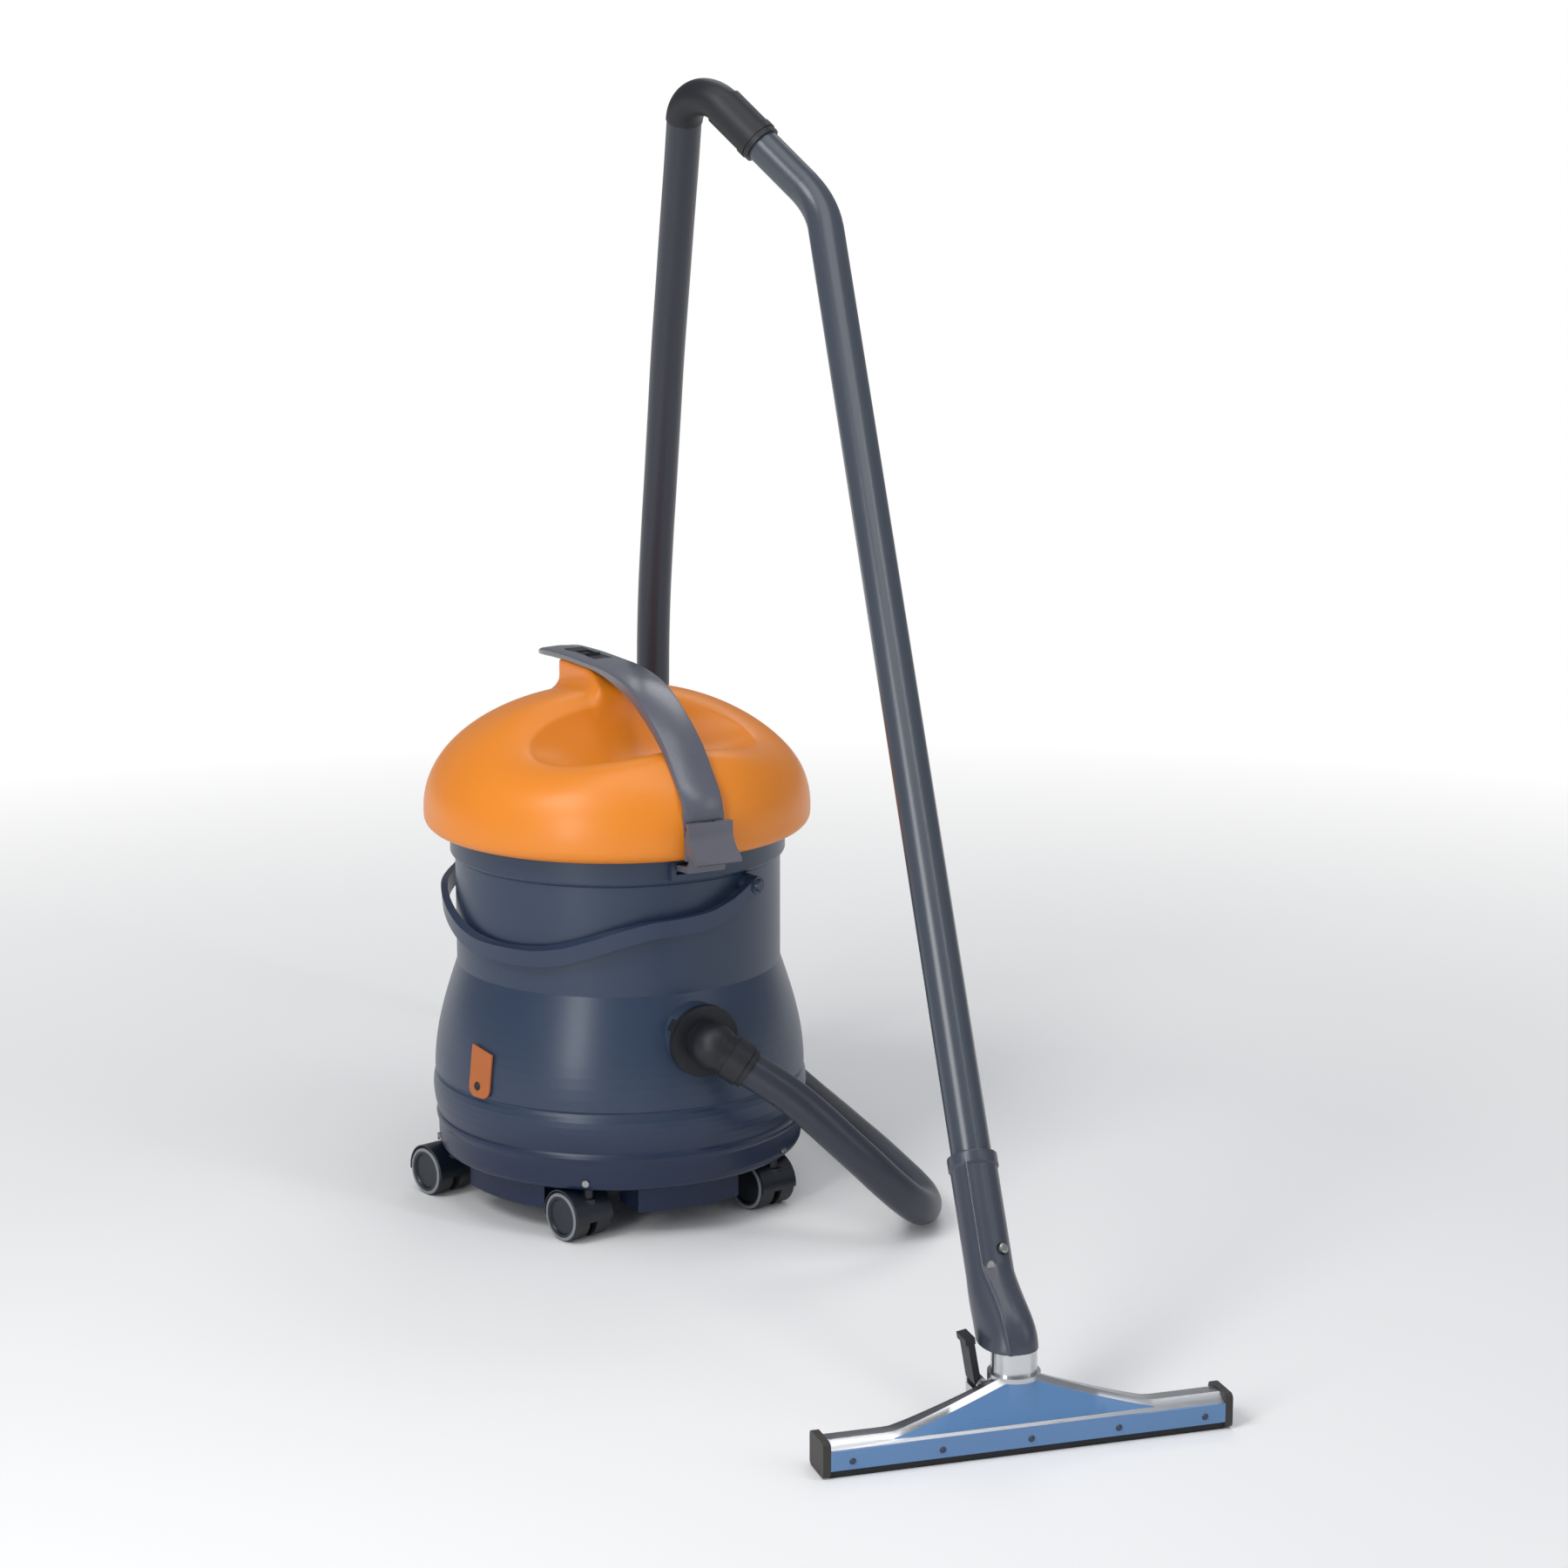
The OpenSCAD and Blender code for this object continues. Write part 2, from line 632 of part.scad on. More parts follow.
module clamp_rail() {
    color(tool_blue) tool_front() difference() {
        translate([-body_half, 0, sole_z]) cube([2 * body_half, rail_t, rail_h]);
        rail_holes() cylinder(r = 2.1, h = 20, center = true);
    }
}
screw_half = 160;
module rail_holes() {
    for (i = [0 : rail_screws - 1])
        translate([lerp(-screw_half, screw_half, i / (rail_screws - 1)), 0, sole_z + rail_h * 0.42])
            rotate([90, 0, 0]) children();
}
module clamp_screws() {
    color(dark) tool_front() rail_holes() {
        translate([0, 0, -rail_t]) cylinder(r = 2, h = rail_t);
        cylinder(r1 = 3, r2 = 2.2, h = 1.2);
    }
}

module front_squeegee() {
    color(black) tool_front() translate([-body_half, rail_t, 0])
        cube([2 * body_half, 3.5, sole_z]);
}
module rear_squeegee() {
    color(black) tool_front() translate([-body_half, tool_depth - 8, 0])
        cube([2 * body_half, 3.5, sole_z]);
}
module end_caps() {
    color(black) tool_front() for (side = [-1, 1]) {
        cap_r = 5;
        x = side < 0 ? -tool_len / 2 : body_half;
        hull() for (y = [cap_r, tool_depth - cap_r + 1]) for (z = [cap_r + 1, tool_end_h - cap_r + 1])
            translate([x, y, z]) rotate([0, 90, 0]) cylinder(r = cap_r, h = end_cap_t, $fn = 32);
    }
}

// Black foot lever behind the neck, pressed to free the tool
lever_len = 42;
lever_t = 6;
lever_lean = -10;
module lever_frame() {
    tool_front() translate(lever_at) children();
}
module release_lever() {
    color(black) lever_frame() rotate([0, lever_lean, 0]) difference() {
        union() {
            rotate([90, 0, 0]) cylinder(r = 4.5, h = lever_w, center = true);
            translate([-lever_t, -lever_w / 2, 0]) cube([lever_t, lever_w, lever_len]);
            translate([-lever_t - 2, -lever_w / 2, lever_len - 6]) cube([lever_t + 3, lever_w, 6]);
        }
        rotate([90, 0, 0]) cylinder(r = lever_pin_r + run, h = lever_w + 2 * over, center = true);
    }
}
module lever_pin() {
    color(dark) lever_frame() rotate([90, 0, 0])
        cylinder(r = lever_pin_r, h = lever_w + 2 * ear_t + 2, center = true);
}

// ---------------------------------------------------------------- bail

bail_r = tub_r + bail_gap + bail_t / 2;
eye_r = 9;
eye_t = bail_t + 2;
band_low = 70;
band_h = 100;
bail_pin_r = 4;
bail_steps = 24;
bail_front = bail_r + 12;
// How far the band lies below the pivots, by the angle from its middle
function bail_drop(a) = lookup(a, [
    [0, 44], [10, 43], [20, 39], [30, 31], [40, 23], [50, 18], [60, 19], [70, 19], [80, 12],
    [88, 2], [90, 0]
]);
function bail_edge(side) = [for (i = [0 : bail_steps]) let (a = 90 * i / bail_steps)
    [-bail_r * cos(a), side * bail_w / 2 - bail_drop(a)]];
module bail_frame() {
    tub_front() rotate([0, 0, bail_turn]) translate([0, 0, bail_z]) children();
}
module bail_eyes(r, h) {
    for (side = [-1, 1]) translate([side * bail_r, 0, 0]) rotate([0, 90, 0])
        cylinder(r = r, h = h, center = true);
}
module bail() {
    top = bail_edge(1);
    foot = bail_edge(-1);
    color("#3a4556") bail_frame() rotate([bail_lean, 0, 0]) difference() {
        union() {
            intersection() {
                translate([0, 0, -band_low]) difference() {
                    cylinder(r = bail_r + bail_t / 2, h = band_h, $fn = 128);
                    translate([0, 0, -over])
                        cylinder(r = bail_r - bail_t / 2, h = band_h + 2 * over, $fn = 128);
                }
                translate([-bail_front, 0, 0]) rotate([90, 0, 90]) linear_extrude(2 * bail_front)
                    polygon(concat([[-bail_front, foot[0][1]]], foot,
                        [for (i = [bail_steps : -1 : 0]) top[i]], [[-bail_front, top[0][1]]]));
            }
            bail_eyes(eye_r, eye_t);
        }
        bail_eyes(bail_pin_r + run, eye_t + 2 * over);
    }
}
module bail_pivots() {
    inner = tub_r - 1;
    outer = bail_r - eye_t / 2 - eps;
    head = bail_r + eye_t / 2 + eps;
    color(navy) bail_frame() difference() {
        for (side = [0, 180]) rotate([0, 0, side]) rotate([0, 90, 0]) {
            translate([0, 0, inner]) cylinder(r = 10, h = outer - inner);
            translate([0, 0, inner]) cylinder(r = bail_pin_r, h = head - inner);
            translate([0, 0, head]) cylinder(r1 = 6.5, r2 = 5, h = 3);
        }
        translate([0, 0, -20]) cylinder(r = tub_r, h = 40, $fn = 128);
    }
}

// ---------------------------------------------------------------- head

dome_power = 2.05;
dome_steps = 18;
lip_z = rim_z + 2;
lip_bore_r = dome_r - 14.5;
function dome_curve(r, h) = [for (i = [0 : dome_steps - 1])
    let (a = 90 * i / dome_steps)
    [r * pow(cos(a), 2 / dome_power), dome_z + h * pow(sin(a), 2 / dome_power)]];
function dome_height(s) = dome_z
    + dome_h * pow(1 - pow(s / dome_r, dome_power), 1 / dome_power);
dome_lip = [[dome_r - 14, lip_z], [dome_r - 9, lip_z + 0.6], [dome_r - 4, lip_z + 4],
    [dome_r - 1, lip_z + 10]];

module dome_form() {
    rotate_extrude($fn = 128) polygon(concat([[0, lip_z]], dome_lip, dome_curve(dome_r, dome_h),
        [[0, dome_z + dome_h]]));
}
module dome_hollow() {
    r = dome_r - dome_wall;
    rotate_extrude($fn = 128) polygon(concat(
        [[0, lip_z - over], [lip_bore_r, lip_z - over], [lip_bore_r, lip_z + 1],
            [dome_r - 10, lip_z + 4], [r - 2, lip_z + 10]],
        dome_curve(r, dome_h - dome_wall), [[0, dome_z + dome_h - dome_wall]]));
}
scoop_y = 78;
scoop_z = dome_z + dome_h + 2;
scoop_half = 45;
module scoop(grow) {
    translate([0, -scoop_y, scoop_z]) {
        rotate([0, 90, 0]) cylinder(r = scoop_r + grow, h = 2 * scoop_half, center = true);
        for (side = [-1, 1]) translate([side * scoop_half, 0, 0]) sphere(r = scoop_r + grow);
    }
}

// Outer line of the handle from the front latch over the top to its rear tip: distance
// towards the front, and height above the dome's widest line. The line is drawn for a dome
// of shape_r whose strap rises by shape_rise, and follows the dome when that changes.
handle_shape = [
    [199, 21], [197, 36], [189, 50], [173, 67.5], [155, 87], [131, 105], [102, 122],
    [72, 135], [42, 141], [11, 144], [-14, 144.4], [-40, 144.5], [-71, 144.5],
    [-104, 143.5], [-130, 142], [-150, 138.5], [-168, 133]
];
shape_r = 197;
shape_rise = 144.5;
strap_top = dome_z + dome_h + 24.5;
handle_way = [for (p = handle_shape)
    [p[0] * dome_r / shape_r, dome_z + p[1] * (strap_top - dome_z) / shape_rise]];
tip_run = 36;
tip_at = handle_way[len(handle_way) - 1][0];
pillar_top = strap_top - handle_t - 0.5;
pillar_w = 40;
pillar_back = 98;
pillar_foot = dome_z + dome_h - 28;
function spline(a, b, c, d, u) = 0.5 * (2 * b + (c - a) * u + (2 * a - 5 * b + 4 * c - d) * u * u
    + (3 * b - a - 3 * c + d) * u * u * u);
handle_line = [for (i = [0 : len(handle_way) - 2]) for (u = [0, 0.5])
    spline(handle_way[max(i - 1, 0)], handle_way[i], handle_way[i + 1],
        handle_way[min(i + 2, len(handle_way) - 1)], u)];
handle_rings = concat(handle_line, [handle_way[len(handle_way) - 1]]);
function handle_dir(i) = let (n = len(handle_rings) - 1)
    unit(handle_rings[min(i + 1, n)] - handle_rings[max(i - 1, 0)]);
// Thickness of the strap along its length: fullest over the scoop
function handle_depth(s) = handle_t
    + lookup(s, [[-168, -3], [-130, 0], [-10, 0], [30, 3], [60, 5.5], [100, 5], [140, 3],
        [165, 1], [199, -1]]);
// Half width, with the rear tip rounded in plan
function handle_half(s) = handle_w / 2
    * (s < tip_at + tip_run ? sqrt(1 - pow((tip_at + tip_run - s) / (tip_run + 2), 2)) : 1);
function handle_ring(i) =
    let (p = handle_rings[i], d = handle_dir(i), t = handle_depth(p[0]),
        w = handle_half(p[0]))
    [for (q = [[w - 4, 0], [w - 1.2, 0.9], [w, 2.6], [w, t - 1.6], [w - 1.6, t], [1.6 - w, t],
            [-w, t - 1.6], [-w, 2.6], [1.2 - w, 0.9], [4 - w, 0], [0, -0.8]])
        [q[0], -(p[0] - q[1] * d[1]), p[1] + q[1] * d[0]]];

bezel_at = [-66, strap_top];
bezel_len = 74;
bezel_w = 20;
rocker_len = 30;
rocker_w = 13;
rocker_pin_r = 1.5;
rocker_z = strap_top - 6.5;
rocker_room = 3.5;
module switch_frame() {
    tub_front() translate([0, -bezel_at[0], 0]) children();
}
module rocker_pocket() {
    translate([-rocker_w / 2 - 1, -bezel_at[0] - rocker_len / 2 - 2, rocker_z - rocker_room])
        cube([rocker_w + 2, rocker_len + 4, 30]);
}
module handle() {
    color(slate) tub_front() difference() {
        union() {
            loft([for (i = [0 : len(handle_rings) - 1]) handle_ring(i)]);
            // foot below the strap, on the dome's front, with the lug for the latch
            intersection() {
                latch_foot(foot_t);
                translate([-handle_w / 2, -dome_r - 8, dome_z - 8]) cube([handle_w, 30, 36]);
            }
            latch_lug();
        }
        latch_bore();
        dome_form();
        pillar_form();
        rocker_pocket();
        translate([-bezel_w / 2, -bezel_at[0] - bezel_len / 2, bezel_at[1] - 2.2])
            cube([bezel_w, bezel_len, 20]);
        translate([0, -bezel_at[0], rocker_z + 1]) rotate([0, 90, 0])
            cylinder(r = rocker_pin_r + run, h = rocker_w + 5, center = true);
    }
}

// Latch mounts: a curved foot on the dome and a lug that holds the pin
lug_w = 14;
foot_t = 1.5;
module latch_foot(t) {
    difference() {
        rotate_extrude($fn = 128)
            translate([dome_r - 12, dome_z - 4]) square([12 + t, 32]);
        translate([0, 0, dome_z - 8]) cylinder(r = dome_r - 10, h = 40, $fn = 128);
    }
}
module latch_lug() {
    translate([-lug_w / 2, -latch_pin_at[0], latch_pin_at[1]]) {
        rotate([0, 90, 0]) cylinder(r = 4, h = lug_w);
        translate([0, 0, -4]) cube([lug_w, 12, 8]);
    }
}
module latch_bore() {
    translate([-lug_w, -latch_pin_at[0], latch_pin_at[1]]) rotate([0, 90, 0])
        cylinder(r = latch_pin_r, h = 2 * lug_w);
}
module rear_latch_bracket() {
    color(slate) tub_front() rotate([0, 0, 180]) difference() {
        union() {
            intersection() {
                latch_foot(foot_t);
                translate([-handle_w / 2, -dome_r - 8, dome_z - 8]) cube([handle_w, 30, 36]);
            }
            latch_lug();
        }
        latch_bore();
        dome_form();
    }
}
module latch_pins() {
    color(silver) for (side = [0, 180]) tub_front() rotate([0, 0, side])
        translate([-latch_w / 2 + 4, -latch_pin_at[0], latch_pin_at[1]]) rotate([0, 90, 0])
            cylinder(r = latch_pin_r, h = latch_w - 8);
}

// The latch's side view, from its pin: out is away from the dome, up is up
latch_line = [
    [-0.4, 5.5], [6.5, 5.5], [7, -8], [11, -16], [25.5, -27.5], [latch_reach, -31], [23, -33],
    [9, -26.5], [3.5, -25.5], [0.8, -29], [-1, -40], [-3, -45.5], [-32.6, -47.5],
    [-32.6, -42], [-7, -39.5], [-4, -37], [-2.8, -33], [-2.4, -10], [-0.4, -6.5]
];
toe_half = latch_w / 2 - 4;
module latch() {
    color("#585c68") difference() {
        translate([0, -latch_pin_at[0], latch_pin_at[1]]) {
            difference() {
                rotate([90, 0, -90]) translate([0, 0, -latch_w / 2])
                    linear_extrude(latch_w) polygon(latch_line);
                for (side = [-1, 1]) translate([side * toe_half, 0, 0])
                    translate([side < 0 ? -20 : 0, -8, -60]) cube([20, 60, 28]);
            }
            rotate([0, 90, 0]) cylinder(r = 4.2, h = latch_w - 6, center = true);
        }
        translate([-lug_w / 2 - 0.5, -latch_pin_at[0] - 4.4, latch_pin_at[1] - 12])
            cube([lug_w + 1, 30, 18]);
        translate([-latch_w, -latch_pin_at[0], latch_pin_at[1]]) rotate([0, 90, 0])
            cylinder(r = latch_pin_r + run, h = 2 * latch_w);
    }
}
module latch_catches() {
    // blocks on the tub's collar whose lips hold the latches' toes down
    block_out = 6;
    block_h = 20;
    lip_t = 2.8;
    slot_h = 11;
    color(navy) for (side = [0, 180]) tub_front() rotate([0, 0, side]) difference() {
        translate([-latch_w / 2 - 2, -(tub_r + collar_out + block_out), rim_z - block_h])
            cube([latch_w + 4, block_out + 8, block_h]);
        translate([0, 0, rim_z - collar_h - over])
            cylinder(r = tub_r + collar_out, h = collar_h + 2 * over, $fn = 128);
        translate([-toe_half - 0.6, -(tub_r + collar_out + 2 * block_out), rim_z - lip_t - slot_h])
            cube([2 * toe_half + 1.2, 30, slot_h]);
    }
}
module front_latch() { tub_front() latch(); }
module rear_latch() { tub_front() rotate([0, 0, 180]) latch(); }

module dome() {
    color(orange) tub_front() difference() {
        union() {
            difference() {
                dome_form();
                difference() {
                    dome_hollow();
                    scoop(dome_wall);
                }
                scoop(0);
            }
            pillar();
        }
        gland_axis() cylinder(r = gland_r, h = 60);
    }
}
module pillar_form() {
    // fin that carries the rear of the handle
    translate([pillar_w / 2, 0, 0]) rotate([90, 0, -90]) linear_extrude(pillar_w)
        polygon([[-pillar_back, pillar_foot], [-pillar_back, pillar_top], [-24, pillar_top],
            [-12, pillar_top - 4], [-2, pillar_top - 11], [6, pillar_top - 20],
            [6, pillar_foot]]);
}
module pillar() {
    difference() {
        pillar_form();
        dome_hollow();
        rocker_pocket();
    }
}

module switch_bezel() {
    color(dark) switch_frame() difference() {
        translate([-bezel_w / 2, -bezel_len / 2, bezel_at[1] - 2.2])
            cube([bezel_w, bezel_len, 2.4]);
        translate([-rocker_w / 2 - 0.6, -rocker_len / 2 - 1.2, bezel_at[1] - 5])
            cube([rocker_w + 1.2, rocker_len + 2.4, 10]);
    }
}
rocker_tilt = 8;
module switch_rocker() {
    color(black) switch_frame() translate([0, 0, rocker_z + 1]) {
        rotate([-rocker_tilt, 0, 0]) rotate([90, 0, 90]) translate([0, 0, -rocker_w / 2])
            linear_extrude(rocker_w) polygon([[-15, 1.2], [-6, -2], [6, -2], [15, 1.2],
                [15, 6.5], [0, 4.6], [-15, 6.5]]);
        rotate([0, 90, 0]) cylinder(r = rocker_pin_r, h = rocker_w + 4, center = true);
    }
}

// Cable inlet on the rear of the head: its bore takes the mains lead
gland_r = 8;
gland_bore_r = 4.25;
gland_turn = 205;
gland_z = dome_z + 10;
gland_len = 30;
module gland_axis() {
    rotate([0, 0, gland_turn]) translate([0, -(dome_r - 14), gland_z]) rotate([90, 0, 0])
        children();
}
module cable_gland() {
    color(black) tub_front() gland_axis() difference() {
        union() {
            cylinder(r = gland_r, h = gland_len - 8);
            translate([0, 0, gland_len - 14]) cylinder(r = gland_r + 3, h = 6, $fn = 6);
            translate([0, 0, gland_len - 8]) cylinder(r1 = gland_r, r2 = gland_r - 2, h = 8);
        }
        translate([0, 0, -over]) cylinder(r = gland_bore_r, h = gland_len + 2 * over);
    }
}

// ---------------------------------------------------------------- inside the head

plate_t = 4;
plate_z = rim_z + 3;
gasket_t = plate_z - rim_z - eps;
suction_r = 30;
spigot_r = tub_r - tub_wall - 6;
module head_plate() {
    color(dark) tub_front() difference() {
        union() {
            translate([0, 0, plate_z]) cylinder(r = lip_bore_r, h = plate_t, $fn = 128);
            translate([0, 0, plate_z - 14]) cylinder(r = spigot_r, h = 14, $fn = 128);
        }
        translate([0, 0, plate_z - 14 - over])
            cylinder(r = spigot_r - 3, h = 14 + over, $fn = 128);
        translate([0, 0, plate_z - over]) cylinder(r = suction_r, h = plate_t + 2 * over);
    }
}
module head_gasket() {
    color(black) tub_front() difference() {
        translate([0, 0, rim_z + eps]) cylinder(r = tub_r + 3, h = gasket_t, $fn = 128);
        translate([0, 0, rim_z]) cylinder(r = spigot_r, h = 4, $fn = 128);
    }
}

motor_z = plate_z + plate_t;
bearing_r = 11;
bearing_h = 7;
module motor_housing() {
    wall = 4;
    color(slate) tub_front() difference() {
        translate([0, 0, motor_z]) cylinder(r = motor_r, h = motor_h);
        translate([0, 0, motor_z - over]) cylinder(r = motor_r - wall, h = motor_h - wall + over);
        translate([0, 0, motor_z]) cylinder(r = bearing_r - 2, h = motor_h + over);
        for (a = [0 : 30 : 330]) rotate([0, 0, a]) translate([motor_r - wall / 2, 0, motor_z + 32])
            cube([2 * wall, 12, 18], center = true);
    }
    color(slate) tub_front() difference() {
        translate([0, 0, motor_z + motor_h - 4 - bearing_h]) cylinder(r = bearing_r + 3, h = bearing_h);
        translate([0, 0, motor_z + motor_h - 4 - bearing_h - over])
            cylinder(r = bearing_r, h = bearing_h + 2 * over);
    }
}
module motor_bearing() {
    color(silver) tub_front() translate([0, 0, motor_z + motor_h - 4 - bearing_h])
        difference() {
            cylinder(r = bearing_r, h = bearing_h);
            translate([0, 0, -over]) cylinder(r = shaft_r + run, h = bearing_h + 2 * over);
        }
}
rotor_r = 26;
fan_z = motor_z + 5;
module motor_rotor() {
    color("#9a5a34") tub_front() {
        translate([0, 0, fan_z - 3]) cylinder(r = shaft_r, h = motor_h - 6);
        translate([0, 0, fan_z + 15]) cylinder(r = rotor_r, h = 24);
    }
}
module suction_fan() {
    blades = 8;
    fan_h = 11;
    color(silver) tub_front() translate([0, 0, fan_z]) difference() {
        union() {
            translate([0, 0, fan_h - 2]) cylinder(r = fan_r, h = 2);
            cylinder(r = shaft_r + 6, h = fan_h);
            for (i = [0 : blades - 1]) rotate([0, 0, i * 360 / blades])
                translate([shaft_r + 3, -1, 0]) cube([fan_r - shaft_r - 4, 2, fan_h - 1]);
        }
        translate([0, 0, -over]) cylinder(r = shaft_r, h = fan_h + 2 * over);
    }
}

cage_bars = 10;
cage_wall = 4;
float_gap = 1;
float_r = cage_r - cage_wall - float_gap;
module filter_cage() {
    cage_z = plate_z - cage_h;
    bar = 6;
    color(dark) tub_front() {
        difference() {
            translate([0, 0, plate_z - 8]) cylinder(r = cage_r + 4, h = 8);
            translate([0, 0, plate_z - 8 - over])
                cylinder(r = cage_r - cage_wall, h = 8 + 2 * over);
        }
        translate([0, 0, cage_z]) cylinder(r = cage_r, h = 4);
        for (i = [0 : cage_bars - 1]) rotate([0, 0, i * 360 / cage_bars])
            translate([cage_r - cage_wall, -bar / 2, cage_z + 2])
                cube([cage_wall, bar, cage_h - 6]);
    }
}
module pleated_filter() {
    fold = 10;
    bottom = plate_z - cage_h + 6;
    height = cage_h - 20;
    inner = cage_r + 0.1;
    color("#d9d6cc") tub_front() {
        translate([0, 0, bottom]) linear_extrude(height) difference() {
            polygon([for (i = [0 : 2 * pleats - 1]) let (a = 180 * i / pleats,
                r = i % 2 == 0 ? filter_r : filter_r - fold) r * [cos(a), sin(a)]]);
            circle(r = inner);
        }
    }
}
module float() {
    seat = plate_z - cage_h + 4 + eps;
    cone_h = 18;
    color("#c9a53a") tub_front() {
        translate([0, 0, seat]) cylinder(r = float_r, h = float_h - cone_h);
        translate([0, 0, seat + float_h - cone_h])
            cylinder(r1 = float_r, r2 = suction_r - 6, h = cone_h);
    }
}

// ---------------------------------------------------------------- castors

axle_r = 3;
web_half = 4;
wheel_gap = 0.6;
tyre_t = 4;
castor_axle_z = wheel_r;
module castor_place(k) {
    part() translate(castor_at(k)) rotate([0, 0, castor_turn]) children();
}
module castor_housing() {
    stem_top = tub_floor_z + boss_h - 5;
    color(dark) difference() {
        union() {
            translate([castor_trail, 0, castor_axle_z]) rotate([90, 0, 0]) difference() {
                cylinder(r = hood_r, h = 2 * hood_half, center = true);
                for (side = [-1, 1]) translate([0, 0, side * (castor_w / 2 + web_half)])
                    cylinder(r = wheel_r + hood_gap, h = castor_w, center = true);
                translate([-60, -60 - 3, -60]) cube([120, 60, 120]);
                rotate([0, 0, -20]) translate([-2, -60, -60]) cube([90, 60, 120]);
            }
            translate([castor_trail, 0, castor_axle_z]) rotate([90, 0, 0])
                cylinder(r = axle_r + 5, h = 2 * web_half, center = true);
            translate([0, 0, castor_axle_z - 3]) cylinder(r = stem_r + 3, h = wheel_r - 3);
            cylinder_stem(stem_top);
        }
        translate([castor_trail, 0, castor_axle_z]) rotate([90, 0, 0])
            cylinder(r = axle_r + run, h = 2 * web_half + 2 * over, center = true);
        for (side = [-1, 1]) translate([castor_trail, side * (castor_w / 2 + web_half), castor_axle_z])
            rotate([90, 0, 0]) cylinder(r = wheel_r + hood_gap, h = castor_w, center = true);
    }
}
module cylinder_stem(top) {
    translate([0, 0, castor_axle_z]) cylinder(r = stem_r, h = top - castor_axle_z);
}
wheel_out = castor_w / 2;
wheel_in = web_half + wheel_gap;
module wheel_pair() {
    color(dark) translate([castor_trail, 0, castor_axle_z]) rotate([90, 0, 0]) {
        cylinder(r = axle_r, h = 2 * wheel_in + 2, center = true);
        for (side = [-1, 1]) mirror([0, 0, side < 0 ? 1 : 0]) difference() {
            translate([0, 0, wheel_in]) cylinder(r = wheel_r - tyre_t, h = wheel_out - wheel_in);
            translate([0, 0, wheel_out - 2]) cylinder(r1 = wheel_r - tyre_t - 4, r2 = wheel_r - tyre_t - 2, h = 2 + over);
        }
    }
}
module tyre_pair() {
    color(tyre_grey) translate([castor_trail, 0, castor_axle_z]) rotate([90, 0, 0])
        for (side = [-1, 1]) mirror([0, 0, side < 0 ? 1 : 0]) difference() {
            union() {
                translate([0, 0, wheel_in]) cylinder(r = wheel_r, h = wheel_out - wheel_in - 1.5);
                translate([0, 0, wheel_out - 1.5]) cylinder(r1 = wheel_r, r2 = wheel_r - 1.5, h = 1.5);
            }
            translate([0, 0, wheel_in - over])
                cylinder(r = wheel_r - tyre_t, h = wheel_out - wheel_in + 2 * over);
        }
}

tub();
castor_screws();
base_skirts();
inlet_flange();
inlet_deflector();
hose_elbow();
hose();
hose_top_elbow();
wand();
tool_neck();
neck_screw();
tool_collar();
tool_body();
clamp_rail();
clamp_screws();
front_squeegee();
rear_squeegee();
end_caps();
lever_pin();
bail_pivots();
latch_catches();
tag_plate();
tag_rivet();
bail();
dome();
handle();
switch_bezel();
rear_latch_bracket();
latch_pins();
head_plate();
head_gasket();
motor_housing();
motor_bearing();
cable_gland();
filter_cage();
pleated_filter();
front_latch();
rear_latch();
switch_rocker();
motor_rotor();
suction_fan();
float();
release_lever();
snap_button();
castor_place(0) castor_housing();  // castor_1
castor_place(1) castor_housing();  // castor_2
castor_place(2) castor_housing();  // castor_3
castor_place(3) castor_housing();  // castor_4
castor_place(4) castor_housing();  // castor_5
castor_place(0) wheel_pair();  // wheels_1
castor_place(1) wheel_pair();  // wheels_2
castor_place(2) wheel_pair();  // wheels_3
castor_place(3) wheel_pair();  // wheels_4
castor_place(4) wheel_pair();  // wheels_5
castor_place(0) tyre_pair();  // tyres_1
castor_place(1) tyre_pair();  // tyres_2
castor_place(2) tyre_pair();  // tyres_3
castor_place(3) tyre_pair();  // tyres_4
castor_place(4) tyre_pair();  // tyres_5
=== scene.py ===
import math

import bpy
import numpy as np
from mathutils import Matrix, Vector


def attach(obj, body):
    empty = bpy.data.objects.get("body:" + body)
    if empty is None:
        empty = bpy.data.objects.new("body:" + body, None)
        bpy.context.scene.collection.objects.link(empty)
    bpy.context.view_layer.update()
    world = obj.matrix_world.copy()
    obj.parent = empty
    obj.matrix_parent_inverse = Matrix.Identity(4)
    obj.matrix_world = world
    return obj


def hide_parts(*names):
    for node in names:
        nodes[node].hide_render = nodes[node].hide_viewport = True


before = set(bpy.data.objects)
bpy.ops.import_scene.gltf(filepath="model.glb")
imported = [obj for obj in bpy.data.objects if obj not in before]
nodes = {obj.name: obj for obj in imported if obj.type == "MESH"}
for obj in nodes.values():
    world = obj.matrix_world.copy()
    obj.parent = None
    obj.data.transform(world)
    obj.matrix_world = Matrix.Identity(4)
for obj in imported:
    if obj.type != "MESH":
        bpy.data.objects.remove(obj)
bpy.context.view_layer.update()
scene = bpy.context.scene
scene.view_settings.view_transform = "Standard"
scene.view_settings.look = "None"

# The tub's axis and the floor tool's middle in the row frame, in metres, and the turns of
# the tub's front and of the tool. They are the same values as in the part's source.
TUB = Vector((-0.1694615, 0.2778515, 0.0))
TOOL = TUB + Vector((0.380, -0.715, 0.0))
FRONT_TURN = math.radians(28)
TOOL_TURN = math.radians(17.5)
MM = 0.001

